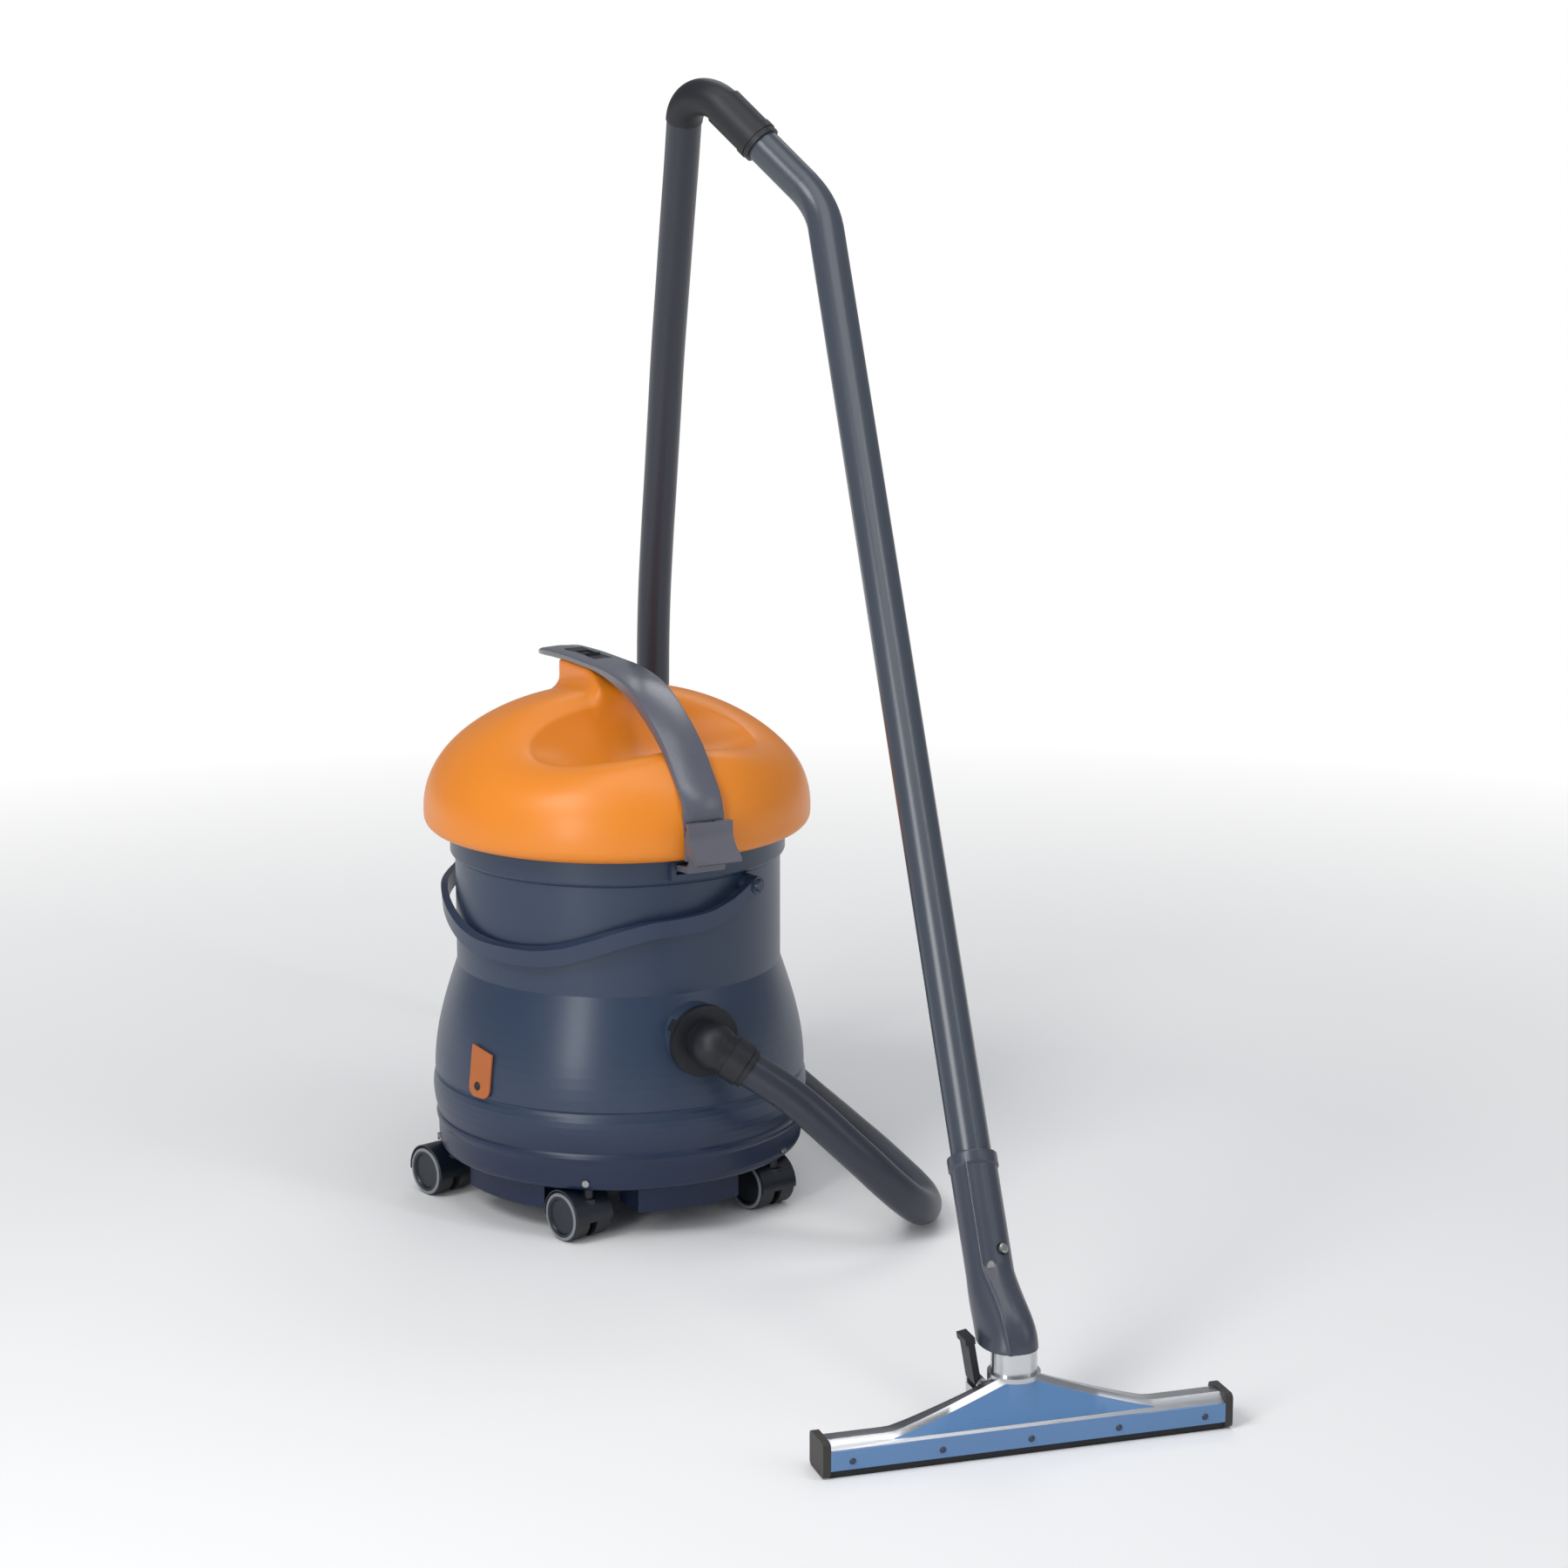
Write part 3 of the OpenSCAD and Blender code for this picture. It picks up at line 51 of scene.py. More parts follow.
# ---------------------------------------------------------------- camera
camera = bpy.data.objects.new("camera", bpy.data.cameras.new("camera"))
scene.collection.objects.link(camera)
camera.data.lens = 81.8
camera.data.sensor_width = 36
camera.data.clip_end = 60
camera.location = TUB + Vector((0.170, -3.550, 1.195))
camera.rotation_euler = (math.radians(90 - 12.2), 0, 0)
scene.camera = camera


def add(name, mesh_or_curve):
    piece = bpy.data.objects.new(name, mesh_or_curve)
    scene.collection.objects.link(piece)
    return piece


def add_mesh(name, points, quads):
    """A smooth mesh through these points, which are in mm from the tub's axis."""
    mesh = bpy.data.meshes.new(name)
    mesh.from_pydata((points * MM + np.array(TUB)).tolist(), [], quads.tolist())
    mesh.shade_smooth()
    return add(name, mesh)


# ---------------------------------------------------------------- hose
# A smooth, 36 mm suction hose of soft plastic. It leaves the tub's elbow to the right, runs
# back along the floor round the castors and rises behind the tub to the elbow on the wand.
HOSE_POINTS = [
    (136.632, -195.707, 183.679), (174, -201, 160), (201, -204, 138), (227, -203, 113),
    (252, -199, 88), (274, -190, 64), (292, -176, 44), (305, -156, 29), (311, -129, 21),
    (310, -96, 18.5), (302, -58, 18), (290, -18, 18), (277, 25, 18), (263, 69, 18),
    (248, 113, 18), (233, 158, 18), (217, 203, 18.5), (199, 247, 21), (177, 288, 29),
    (151, 323, 46), (123, 348, 75), (94, 361, 115), (70, 365, 164), (50, 363, 221),
    (37, 358, 283), (29, 351, 350), (25, 343, 420), (25, 334, 490), (27, 324, 560),
    (31, 312, 630), (36, 297, 700), (41, 279, 770), (46, 258, 840), (52, 234, 909),
    (58, 207, 977), (64, 178, 1042), (68, 155, 1089),
]
HOSE_D = 0.036
route = [TUB + Vector(p) * MM for p in HOSE_POINTS]
curve = bpy.data.curves.new("hose", "CURVE")
curve.dimensions = "3D"
curve.bevel_depth = HOSE_D / 2
curve.bevel_resolution = 12
curve.resolution_u = 6
curve.use_fill_caps = True
spline = curve.splines.new("BEZIER")
spline.bezier_points.add(len(route) - 1)
for point, place in zip(spline.bezier_points, route):
    point.co = place
    point.handle_left_type = point.handle_right_type = "AUTO"
hose = add("hose_tube", curve)
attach(hose, "tub_and_tool")
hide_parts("hose")


# ---------------------------------------------------------------- dome
# The head's orange shell: a flattened dome with a soft finger scoop under the handle and a
# fin that carries the handle's rear, all moulded in one with rounded transitions.
# Sizes in mm; the scoop is an ellipsoid, and AHEAD is the way towards the front latch.
DOME_R, DOME_H, DOME_Z, DOME_POWER = 197.0, 120.0, 408.0, 2.05
DOME_WALL, RIM_BORE_R, RIM_TOP = 5.0, 182.5, 396.0
LIP_R, LIP_Z = 14.0, 402.0
SCOOP_AHEAD, SCOOP_Z, SCOOP_REACH = 78.0, 530.0, (150.0, 66.0, 66.0)
SCOOP_BLEND, SCOOP_SPREAD = 26.0, 0.22
FIN_TOP, FIN_FOOT, FIN_HALF, FIN_REAR, FIN_FRONT = 544.0, 470.0, 20.0, -98.0, 6.0
FIN_SLOPE, FIN_SLOPE_AT, FIN_BLEND = 0.75, -18.0, 14.0
DOME_BOX, DOME_STEP = ((-203, -203, 383), (203, 203, 550)), 2.8
TINY = 0.001


def soft_max(a, b, k):
    blend = np.maximum(k - np.abs(a - b), 0.0) / k
    return np.maximum(a, b) + blend * blend * k * 0.25


def soft_min(a, b, k):
    return -soft_max(-a, -b, k)


def dome_outside(x, ahead, z):
    """Signed distance to the dome's outer face, in mm, with ahead towards the latch."""
    r = np.hypot(x, ahead)
    a = np.maximum(r / DOME_R, TINY)
    b = np.maximum(z - DOME_Z, 0.0) / DOME_H
    level = (a ** DOME_POWER + b ** DOME_POWER) ** (1 / DOME_POWER)
    bend = DOME_POWER - 1
    steep = np.hypot(a ** bend / DOME_R, b ** bend / DOME_H) / level ** bend
    lip = np.hypot(np.maximum(r - DOME_R + LIP_R, 0.0), np.maximum(LIP_Z - z, 0.0)) - LIP_R
    shell = np.maximum((level - 1.0) / steep, lip)
    from_scoop = (x, ahead - SCOOP_AHEAD, z - SCOOP_Z)
    spans = [v / reach for v, reach in zip(from_scoop, SCOOP_REACH)]
    out = np.sqrt(sum(v * v for v in spans)) + TINY
    fall = np.sqrt(sum((v / reach) ** 2 for v, reach in zip(spans, SCOOP_REACH))) + TINY / 10
    scoop = (out - 1.0) * out / fall
    shell = soft_max(shell, -scoop, SCOOP_BLEND + SCOOP_SPREAD * np.abs(x))
    slope = (z - FIN_TOP + FIN_SLOPE * (ahead - FIN_SLOPE_AT)) / math.hypot(1.0, FIN_SLOPE)
    fin = soft_max(soft_max(z - FIN_TOP, slope, 10.0), np.abs(x) - FIN_HALF, 4.0)
    fin = soft_max(fin, FIN_REAR - ahead, 4.0)
    fin = soft_max(np.maximum(fin, FIN_FOOT - z), ahead - FIN_FRONT, 6.0)
    return soft_min(shell, fin, FIN_BLEND)


def dome_wall(x, ahead, z):
    outside = dome_outside(x, ahead, z)
    bore = np.maximum(np.hypot(x, ahead) - RIM_BORE_R, z - RIM_TOP)
    return np.maximum(outside, -np.minimum(outside + DOME_WALL, bore))


def surface_net(field, low, high, step):
    """Vertices and quads of the surface where the field is zero, on a grid of this step."""
    axes = [np.arange(a, b, step) for a, b in zip(low, high)]
    values = field(*np.meshgrid(*axes, indexing="ij"))
    solid = values < 0
    cells = tuple(n - 1 for n in values.shape)

    def corner(array, offset):
        return array[tuple(slice(o, o + n) for o, n in zip(offset, cells))]

    corners = [(i, j, k) for i in (0, 1) for j in (0, 1) for k in (0, 1)]
    filled = sum(corner(solid, c).astype(np.int8) for c in corners)
    active = (filled > 0) & (filled < 8)
    number = np.full(cells, -1)
    number[active] = np.arange(active.sum())
    base = np.argwhere(active).astype(float)
    total, count = np.zeros_like(base), np.zeros(len(base))
    for c in corners:
        for axis in range(3):
            if c[axis]:
                continue
            d = tuple(1 if i == axis else v for i, v in enumerate(c))
            a, b = corner(values, c)[active], corner(values, d)[active]
            crossed = (a < 0) != (b < 0)
            share = np.where(crossed, a / np.where(crossed, a - b, 1.0), 0.0)
            point = np.array(c, float) + share[:, None] * (np.array(d) - np.array(c))
            total += np.where(crossed[:, None], point, 0.0)
            count += crossed
    points = (base + total / count[:, None]) * step + np.array([a[0] for a in axes])
    quads = []
    for axis in range(3):
        one, two = (axis + 1) % 3, (axis + 2) % 3
        here = np.take(solid, range(solid.shape[axis] - 1), axis)
        there = np.take(solid, range(1, solid.shape[axis]), axis)
        for turned, where in ((False, here & ~there), (True, ~here & there)):
            at = np.argwhere(where)
            ring = []
            for u, v in ((0, 0), (1, 0), (1, 1), (0, 1)):
                spot = at.copy()
                spot[:, one] += u - 1
                spot[:, two] += v - 1
                ring.append(number[tuple(spot.T)])
            quads.append(np.stack(ring[::-1] if turned else ring, axis=1))
    for _ in range(5):
        level = field(*points.T)
        shift = [np.eye(3)[i] * 0.05 for i in range(3)]
        slope = np.stack([(field(*(points + e).T) - field(*(points - e).T)) / 0.1
                          for e in shift], axis=1)
        move = slope * (level / np.maximum((slope ** 2).sum(axis=1), 0.3))[:, None]
        points -= np.clip(move, -0.4 * step, 0.4 * step)
    return points, np.concatenate(quads)


points, quads = surface_net(dome_wall, *DOME_BOX, DOME_STEP)
right = np.array([math.cos(FRONT_TURN), math.sin(FRONT_TURN), 0.0])
ahead = np.array([math.sin(FRONT_TURN), -math.cos(FRONT_TURN), 0.0])
placed = points[:, :1] * right + points[:, 1:2] * ahead + points[:, 2:] * (0, 0, 1)
dome = add_mesh("dome_shell", placed, quads[:, ::-1])
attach(dome, "head")
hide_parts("dome")

# ---------------------------------------------------------------- tool neck
# The grey neck of the floor tool. It swells up from the collar's oval and bends into the
# sleeve round the wand's foot in one sweep, with a ridge along its front.
# Sizes in mm; runs are measured from the neck's foot up the wand.
SLEEVE_R, SLEEVE_LEN, FLARE_RUN, NECK_WALL = 21.0, 190.0, 84.0, 4.5
COLLAR_AT, COLLAR_Z, OVAL_R, OVAL_FLAT = (-3.0, 36.0), 83.0, 18.8, 2.0
BORE_R, SOCKET_R, SOCKET_LEN, BAND_R, BAND_LEN = 15.8, 18.2, 45.0, 22.3, 12.0
RIDGE_H, RIDGE_SIDE, RIDGE_SPREAD = 1.5, 56.0, 5.0
BUTTON_RUN, BUTTON_SIDE, BUTTON_HOLE_R = 98.0, math.radians(112), 5.0
SWEEP_STEPS, SWEEP_PULL, NECK_BLEND, OVERLAP = 24, 62.0, 12.0, 4.0
NECK_FOOT = np.array((358.4346, -679.8584, 66.0))
NECK_BOX, NECK_STEP = ((308, -708, 78), (393, -530, 232)), 1.4
WAND_UP = np.array((-0.12453, 0.61170, 0.78123))
WAND_UP /= np.linalg.norm(WAND_UP)
UP = np.array((0.0, 0.0, 1.0))
tool_x = np.array((math.cos(TOOL_TURN), math.sin(TOOL_TURN), 0.0))
tool_y = np.array((-tool_x[1], tool_x[0], 0.0))
collar = np.array((TOOL - TUB) / MM) + COLLAR_AT[0] * tool_x + COLLAR_AT[1] * tool_y
collar[2] = COLLAR_Z
sleeve = NECK_FOOT + FLARE_RUN * WAND_UP
share = np.linspace(0.0, 1.0, SWEEP_STEPS + 1)[:, None]
sweep = ((2 * share**3 - 3 * share**2 + 1) * collar + (3 * share**2 - 2 * share**3) * sleeve
         + (share**3 - 2 * share**2 + share) * SWEEP_PULL * UP
         + (share**3 - share**2) * SWEEP_PULL * WAND_UP)
sweep = np.concatenate([[collar - 12.0 * UP], sweep, [sleeve + 130.0 * WAND_UP]])
left = -tool_x + (tool_x @ WAND_UP) * WAND_UP
left /= np.linalg.norm(left)
button_way = math.cos(BUTTON_SIDE) * left + math.sin(BUTTON_SIDE) * np.cross(WAND_UP, left)


def along_wand(place):
    """The run along the wand's axis and the distance from it."""
    offset = place - NECK_FOOT
    run = offset @ WAND_UP
    return run, np.linalg.norm(offset - run[..., None] * WAND_UP, axis=-1)


def neck_outside(x, y, z):
    """Distance to the neck's outer face, in mm."""
    place = np.stack([x, y, z], axis=-1)
    nearest, offset, done = np.full(x.shape, 1e9), np.zeros(place.shape), np.zeros(x.shape)
    for i, (a, b) in enumerate(zip(sweep, sweep[1:])):
        way = b - a
        part = np.clip((place - a) @ way / (way @ way), 0.0, 1.0)
        gap = place - (a + part[..., None] * way)
        length = np.sqrt((gap ** 2).sum(axis=-1))
        closer = length < nearest
        nearest = np.where(closer, length, nearest)
        offset = np.where(closer[..., None], gap, offset)
        done = np.where(closer, np.clip((i - 1 + part) / SWEEP_STEPS, 0.0, 1.0), done)
    side, front = -offset @ tool_x, offset @ np.cross(WAND_UP, -tool_x)
    angle = np.arctan2(front, side)
    flat = OVAL_FLAT * np.abs(np.cos(angle))
    ease = done * done * (3 - 2 * done)
    ridge = RIDGE_H * np.exp(-((np.degrees(angle) - RIDGE_SIDE) / RIDGE_SPREAD) ** 2)
    swept = (nearest - (OVAL_R + flat) * (1 - ease) - SLEEVE_R * ease
             + NECK_BLEND * done ** 4)
    return soft_min(swept, along_wand(place)[1] - SLEEVE_R, NECK_BLEND) - ridge


def neck_wall(x, y, z):
    outside = neck_outside(x, y, z)
    place = np.stack([x, y, z], axis=-1)
    run, axle = along_wand(place)
    band = np.maximum(axle - BAND_R, SLEEVE_LEN - BAND_LEN - run)
    solid = np.maximum(np.minimum(outside, band), np.maximum(COLLAR_Z - z, run - SLEEVE_LEN))
    hollow = np.minimum(np.maximum(outside + NECK_WALL, run - FLARE_RUN - OVERLAP),
                        np.maximum(axle - BORE_R, FLARE_RUN - OVERLAP - run))
    socket = np.maximum(axle - SOCKET_R, SLEEVE_LEN - SOCKET_LEN - run)
    across = place - NECK_FOOT - BUTTON_RUN * WAND_UP
    depth = across @ button_way
    wide = np.sqrt(np.maximum((across ** 2).sum(axis=-1) - depth * depth, 0.0))
    hole = np.maximum(wide - BUTTON_HOLE_R, -depth)
    return np.maximum(solid, -np.minimum(np.minimum(hollow, socket), hole))


neck = add_mesh("neck_sleeve", *surface_net(neck_wall, *NECK_BOX, NECK_STEP))
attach(neck, "tub_and_tool")
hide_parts("tool_neck")


# ---------------------------------------------------------------- materials
class Sock:
    """A value in a material's node tree. Its operators make Math nodes."""

    def __init__(self, tree, out):
        self.tree, self.out = tree, out

    def math(self, operation, *others, clamp=False):
        made = self.tree.nodes.new("ShaderNodeMath")
        made.operation = operation
        made.use_clamp = clamp
        for slot, value in zip(made.inputs, (self, *others)):
            if isinstance(value, Sock):
                self.tree.links.new(value.out, slot)
            else:
                slot.default_value = value
        return Sock(self.tree, made.outputs[0])

    def __add__(self, other):
        return self.math("ADD", other)

    def __sub__(self, other):
        return self.math("SUBTRACT", other)

    def __mul__(self, other):
        return self.math("MULTIPLY", other)

    def power(self, other):
        return self.math("POWER", other)

    def step(self, edge, width):
        """0 below the edge and 1 above it, over this width."""
        return self.math("SUBTRACT", edge).math("DIVIDE", width).math("ADD", 0.5, clamp=True)


def make(tree, kind, settings=(), output=0, **inputs):
    """One node, with its settings and its inputs by name; gives an output as a Sock."""
    made = tree.nodes.new(kind)
    for key, value in dict(settings).items():
        setattr(made, key, value)
    for key, value in inputs.items():
        slot = made.inputs[key.replace("_", " ")]
        if isinstance(value, Sock):
            tree.links.new(value.out, slot)
        else:
            slot.default_value = value
    return Sock(tree, made.outputs[output])


def mix_colour(tree, factor, low, high):
    made = tree.nodes.new("ShaderNodeMix")
    made.data_type = "RGBA"
    for index, value in ((0, factor), (6, low), (7, high)):
        if isinstance(value, Sock):
            tree.links.new(value.out, made.inputs[index])
        else:
            made.inputs[index].default_value = value
    return Sock(tree, made.outputs[2])


def rgba(colour):
    return (*colour, 1.0)


def start(name):
    """A new material: its tree, its Principled shader and the place in the row frame."""
    material = bpy.data.materials.new(name)
    material.use_nodes = True
    tree = material.node_tree
    shader = tree.nodes["Principled BSDF"]
    place = make(tree, "ShaderNodeTexCoord", output=3)
    return material, tree, shader, place


def noise(tree, place, scale, detail=3.0):
    return make(tree, "ShaderNodeTexNoise", Vector=place, Scale=scale, Detail=detail,
                Roughness=0.5)


def bump(tree, shader, height, distance):
    normal = make(tree, "ShaderNodeBump", Height=height, Distance=distance, Strength=1.0)
    tree.links.new(normal.out, shader.inputs["Normal"])


def link(tree, value, slot):
    tree.links.new(value.out, slot)


def moulded(name, colour, rough, coat=0.0, grain=0.00004, mottle=0.06):
    """Moulded plastic or rubber: fine grain, a little uneven in colour and gloss."""
    material, tree, shader, place = start(name)
    broad = noise(tree, place, 9.0, 4.0)
    fine = noise(tree, place, 900.0, 2.0)
    low = rgba([c * (1 - mottle) for c in colour])
    high = rgba([min(1, c * (1 + mottle)) for c in colour])
    link(tree, mix_colour(tree, broad, low, high), shader.inputs["Base Color"])
    link(tree, broad * 0.12 + (rough - 0.06), shader.inputs["Roughness"])
    shader.inputs["Coat Weight"].default_value = coat
    shader.inputs["Coat Roughness"].default_value = 0.22
    bump(tree, shader, fine, grain)
    return material


LINE_DEPTH = 0.00001


def metal(name, colour, rough):
    """Bare metal with fine lines from grinding or drawing."""
    material, tree, shader, place = start(name)
    stretched = make(tree, "ShaderNodeMapping", Vector=place, Scale=(40.0, 40.0, 900.0))
    lines = noise(tree, stretched, 1.0)
    link(tree, mix_colour(tree, lines, rgba([c * 0.9 for c in colour]), rgba(colour)),
         shader.inputs["Base Color"])
    link(tree, lines * 0.16 + (rough - 0.08), shader.inputs["Roughness"])
    shader.inputs["Metallic"].default_value = 1.0
    bump(tree, shader, lines, LINE_DEPTH)
    return material


def dress(material, *names):
    """Gives the CAD nodes of these names this material."""
    for name in names:
        data = nodes[name].data
        data.materials.clear()
        data.materials.append(material)


NAVY = (0.025, 0.044, 0.086)
# The base's dark blue: the real colour of its plastic, made darker still as painted shade near
# the floor.
BASE_BLUE_AND_SHADE = (0.004, 0.014, 0.050)
ORANGE = (0.80, 0.240, 0.013)
TOOL_BLUE = (0.112, 0.238, 0.456)
# Painted shade: below about 0.105 m the tub's navy fades, over 0.06 m, into that darker base
# blue.
PAINTED_SHADE_TOP, PAINTED_SHADE_FADE = 0.105, 0.06
tub_blue, tree, shader, place = start("tub_plastic")
split = tree.nodes.new("ShaderNodeSeparateXYZ")
link(tree, place, split.inputs[0])
height = Sock(tree, split.outputs[2])
broad = noise(tree, place, 9.0, 4.0)
# Painted shade towards the floor: the tub's colour gets darker towards the bottom.
low = mix_colour(tree, height.step(PAINTED_SHADE_TOP, PAINTED_SHADE_FADE), rgba(BASE_BLUE_AND_SHADE), rgba(NAVY))
link(tree, mix_colour(tree, broad * 0.16, low, rgba((0.034, 0.047, 0.077))),
     shader.inputs["Base Color"])
link(tree, broad * 0.08 + 0.30, shader.inputs["Roughness"])
bump(tree, shader, noise(tree, place, 900.0, 2.0), 0.00003)
dress(tub_blue, "tub", "bail_pivots", "latch_catches")
# The base skirts: dark blue plastic, its colour darkened further as painted shade near the floor.
dress(moulded("base_plastic", BASE_BLUE_AND_SHADE, 0.5), "base_skirts")
dress(moulded("bail_plastic", (0.022, 0.038, 0.080), 0.36, 0.1), "bail")
shell_orange = moulded("orange_shell", ORANGE, 0.42, 0.08, mottle=0.02)
dress(shell_orange, "dome")
dress(moulded("tag_orange", (0.45, 0.125, 0.028), 0.5), "tag_plate")
dome.data.materials.append(shell_orange)
dress(moulded("handle_plastic", (0.105, 0.110, 0.140), 0.27, 0.3), "handle", "rear_latch_bracket")
dress(moulded("latch_plastic", (0.105, 0.107, 0.135), 0.36, 0.2), "front_latch", "rear_latch")
dress(moulded("black_plastic", (0.007, 0.009, 0.013), 0.5), "inlet_flange", "hose_elbow",
      "hose_top_elbow", "cable_gland", "head_plate", "inlet_deflector", "filter_cage",
      "switch_bezel", "switch_rocker", "tag_rivet", "release_lever")
dress(moulded("cap_rubber", (0.034, 0.030, 0.027), 0.55), "end_caps")
dress(moulded("seal_rubber", (0.012, 0.012, 0.013), 0.6), "front_squeegee", "rear_squeegee",
      "head_gasket")
neck_grey = moulded("neck_plastic", (0.050, 0.057, 0.080), 0.33, 0.1)
dress(neck_grey, "tool_neck", "motor_housing")
neck.data.materials.append(neck_grey)
dress(moulded("wand_paint", (0.048, 0.060, 0.080), 0.3, 0.2, grain=0.00001), "wand")
dress(moulded("castor_plastic", (0.005, 0.009, 0.016), 0.38, 0.1),
      *[f"{kind}_{k}" for kind in ("castor", "wheels") for k in range(1, 6)])

# Tyres: dark rubber with a pale ring on the outer side of each wheel.
AXLE = (0.7547, 0.6561, 0.0)
CASTOR_CIRCLE_R, RING_FROM = 0.176, 0.0224
for k in range(5):
    turn = FRONT_TURN + math.radians(72 * k - 108)
    stem = TUB + Vector((math.sin(turn), -math.cos(turn), 0.0)) * CASTOR_CIRCLE_R
    material, tree, shader, place = start(f"tyre_rubber_{k + 1}")
    out = make(tree, "ShaderNodeVectorMath", {"operation": "DOT_PRODUCT"}, output=1, Vector=place)
    out.out.node.inputs[1].default_value = AXLE
    aside = (out - stem.dot(Vector(AXLE))).math("ABSOLUTE")
    ring = aside.step(RING_FROM, 0.0003)
    link(tree, mix_colour(tree, ring, rgba((0.016, 0.018, 0.022)), rgba((0.21, 0.23, 0.26))),
         shader.inputs["Base Color"])
    shader.inputs["Roughness"].default_value = 0.5
    dress(material, f"tyres_{k + 1}")
dress(moulded("filter_paper", (0.75, 0.73, 0.66), 0.8, mottle=0.04), "pleated_filter")
dress(moulded("float_plastic", (0.7, 0.5, 0.15), 0.5), "float")
dress(metal("zinc_steel", (0.4, 0.4, 0.39), 0.4), "castor_screws", "neck_screw", "latch_pins",
      "lever_pin", "motor_bearing", "snap_button")
dress(moulded("screw_black", (0.03, 0.045, 0.08), 0.4), "clamp_screws")
dress(metal("copper_windings", (0.7, 0.32, 0.15), 0.4), "motor_rotor")
dress(metal("cast_aluminium", (0.68, 0.69, 0.7), 0.3), "tool_collar", "suction_fan")
dress(moulded("blue_rail", TOOL_BLUE, 0.4, 0.2), "clamp_rail")
hose.data.materials.append(moulded("hose_plastic", (0.023, 0.027, 0.043), 0.4, 0.12,
                                   grain=0.00002))

# The casting of the floor tool is bare aluminium with a blue triangle on its front slope,
# which follows the fishtail a little inside its edge. Sizes in metres.
TAIL_AT, TAIL_FLAT, TAIL_WING, TAIL_POWER = -0.003, 0.015, 0.118, 1.15
END_H, PEAK_RISE, BLUE_INSET = 0.031, 0.032, 0.0042
BLUE_FOOT, BLUE_DEEP, PAINT_EDGE = 0.0262, 0.0185, 0.0004
material, tree, shader, place = start("tool_casting")
local = make(tree, "ShaderNodeVectorRotate", {"rotation_type": "Z_AXIS"}, Vector=place,
             Center=tuple(TOOL), Angle=-TOOL_TURN)
split = tree.nodes.new("ShaderNodeSeparateXYZ")
link(tree, local, split.inputs[0])
along = Sock(tree, split.outputs[0]) - TOOL.x
deep = Sock(tree, split.outputs[1]) - TOOL.y
up = Sock(tree, split.outputs[2])
aside = (along - TAIL_AT).math("ABSOLUTE")
tail = (aside - TAIL_FLAT) * (-1 / (TAIL_WING - TAIL_FLAT)) + 1.0
tail = tail.math("MINIMUM", 1.0).math("MAXIMUM", 0.0)
edge = tail.power(TAIL_POWER) * PEAK_RISE + (END_H - BLUE_INSET)
blue = (edge - up).step(0.0, PAINT_EDGE) * up.step(BLUE_FOOT, PAINT_EDGE)
blue = blue * (aside * -1.0).step(-TAIL_WING, 0.001) * (deep * -1.0).step(-BLUE_DEEP, 0.001)
stretched = make(tree, "ShaderNodeMapping", Vector=place, Scale=(60.0, 60.0, 700.0))
lines = noise(tree, stretched, 1.0)
link(tree, mix_colour(tree, blue, rgba((0.55, 0.56, 0.58)), rgba(TOOL_BLUE)),
     shader.inputs["Base Color"])
link(tree, (blue * -1.0) + 1.0, shader.inputs["Metallic"])
link(tree, lines * 0.12 + 0.24, shader.inputs["Roughness"])
bump(tree, shader, lines, LINE_DEPTH)
dress(material, "tool_body")


# Shading of the moulded pieces: smooth across their curves, sharp at their edges.
WELD, SHARP_ANGLE = 0.00001, math.radians(32)


def smooth_group():
    group = bpy.data.node_groups.new("smooth_by_angle", "GeometryNodeTree")
    group.interface.new_socket("Geometry", in_out="INPUT", socket_type="NodeSocketGeometry")
    group.interface.new_socket("Geometry", in_out="OUTPUT", socket_type="NodeSocketGeometry")
    chain = [group.nodes.new(kind) for kind in (
        "NodeGroupInput", "GeometryNodeMergeByDistance", "GeometryNodeSetShadeSmooth",
        "GeometryNodeSetShadeSmooth", "NodeGroupOutput")]
    chain[1].inputs["Distance"].default_value = WELD
    for one, two in zip(chain, chain[1:]):
        group.links.new(one.outputs[0], two.inputs[0])
    angle = group.nodes.new("GeometryNodeInputMeshEdgeAngle")
    sharp = group.nodes.new("FunctionNodeCompare")
    sharp.data_type, sharp.operation = "FLOAT", "GREATER_THAN"
    sharp.inputs[1].default_value = SHARP_ANGLE
    group.links.new(angle.outputs[0], sharp.inputs[0])
    chain[3].domain = "EDGE"
    chain[3].inputs["Shade Smooth"].default_value = False
    group.links.new(sharp.outputs[0], chain[3].inputs["Selection"])
    return group


smooth = smooth_group()
for name in ("handle", "front_latch", "rear_latch", "tool_body", "bail", "wand",
             "hose_top_elbow", "hose_elbow", "end_caps"):
    piece = nodes[name]
    normals = piece.data.attributes.get("custom_normal")
    if normals:
        piece.data.attributes.remove(normals)
    piece.modifiers.new("smooth", "NODES").node_group = smooth

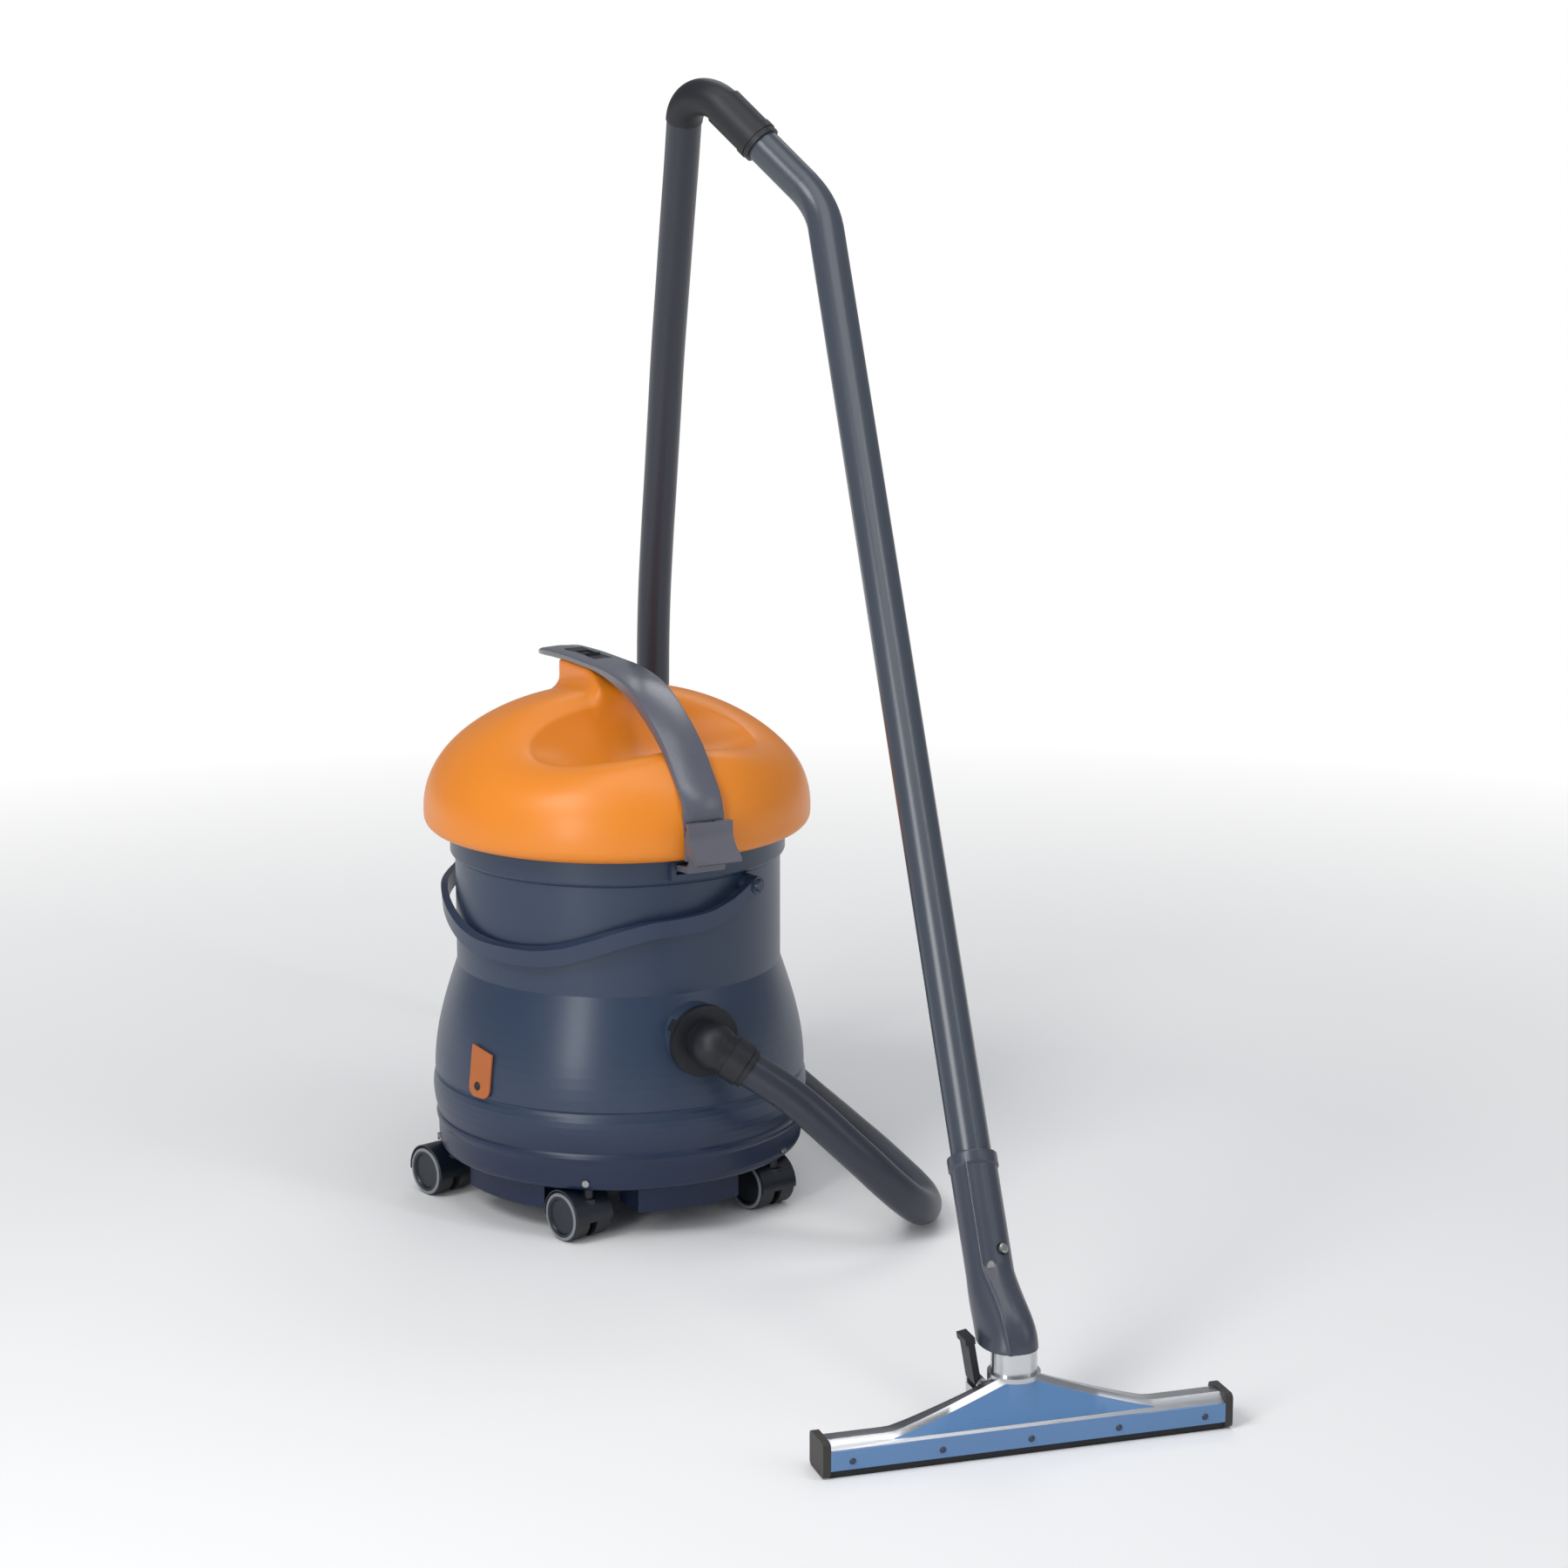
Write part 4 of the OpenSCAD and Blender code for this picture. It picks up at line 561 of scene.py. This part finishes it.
# ---------------------------------------------------------------- floor and backdrop
# A pale studio floor that fades into a white backdrop and keeps the object's shadow.
FLOOR_HALF, PALE_R, FADE_WIDTH = 14.0, 1.7, 1.8
floor_mesh = bpy.data.meshes.new("floor")
corners = [(x * FLOOR_HALF, y * FLOOR_HALF, 0) for x, y in ((-1, -1), (1, -1), (1, 1), (-1, 1))]
floor_mesh.from_pydata(corners, [], [(0, 1, 2, 3)])
floor = add("floor", floor_mesh)
material, tree, shader, place = start("floor")
shader.inputs["Base Color"].default_value = (0.92, 0.92, 0.92, 1)
shader.inputs["Roughness"].default_value = 0.9
shader.inputs["Specular IOR Level"].default_value = 0.0
away = make(tree, "ShaderNodeVectorMath", {"operation": "LENGTH"}, output=1, Vector=place)
glow = tree.nodes.new("ShaderNodeEmission")
fade = tree.nodes.new("ShaderNodeMixShader")
link(tree, away.step(PALE_R, FADE_WIDTH), fade.inputs[0])
tree.links.new(shader.outputs[0], fade.inputs[1])
tree.links.new(glow.outputs[0], fade.inputs[2])
tree.links.new(fade.outputs[0], tree.nodes["Material Output"].inputs["Surface"])
floor.data.materials.append(material)

# White to the camera, and a soft grey light for everything else.
world = bpy.data.worlds.new("studio")
world.use_nodes = True
scene.world = world
tree = world.node_tree
sky = tree.nodes["Background"]
rays = tree.nodes.new("ShaderNodeLightPath")
seen = Sock(tree, rays.outputs["Is Camera Ray"])
link(tree, mix_colour(tree, seen, rgba((0.27, 0.28, 0.30)), rgba((1, 1, 1))), sky.inputs["Color"])


# ---------------------------------------------------------------- lights
AIM = Vector((0, 0, 0.45))


def softbox(name, azimuth, elevation, distance, size, power, colour=(1, 1, 1)):
    """An area light at this azimuth from the front view, turned to the object's middle."""
    lamp = bpy.data.lights.new(name, "AREA")
    lamp.shape = "RECTANGLE"
    lamp.size, lamp.size_y = size
    lamp.energy = power
    lamp.color = colour
    light = add(name, lamp)
    a, e = math.radians(azimuth), math.radians(elevation)
    way = Vector((math.sin(a) * math.cos(e), -math.cos(a) * math.cos(e), math.sin(e)))
    light.location = AIM + way * distance
    light.rotation_euler = (-way).to_track_quat("-Z", "Y").to_euler()


softbox("key", -44, 44, 3.2, (1.2, 1.2), 37)
softbox("strip", -31, 10, 2.6, (0.45, 1.5), 19)
softbox("fill", 62, 24, 3.6, (1.4, 1.8), 11, (0.9, 0.95, 1.0))
softbox("streak", 53, 56, 2.6, (0.10, 1.2), 5)
softbox("top", 10, 82, 3.0, (2.0, 2.0), 24)
softbox("back", 170, 45, 3.4, (1.6, 1.2), 14)
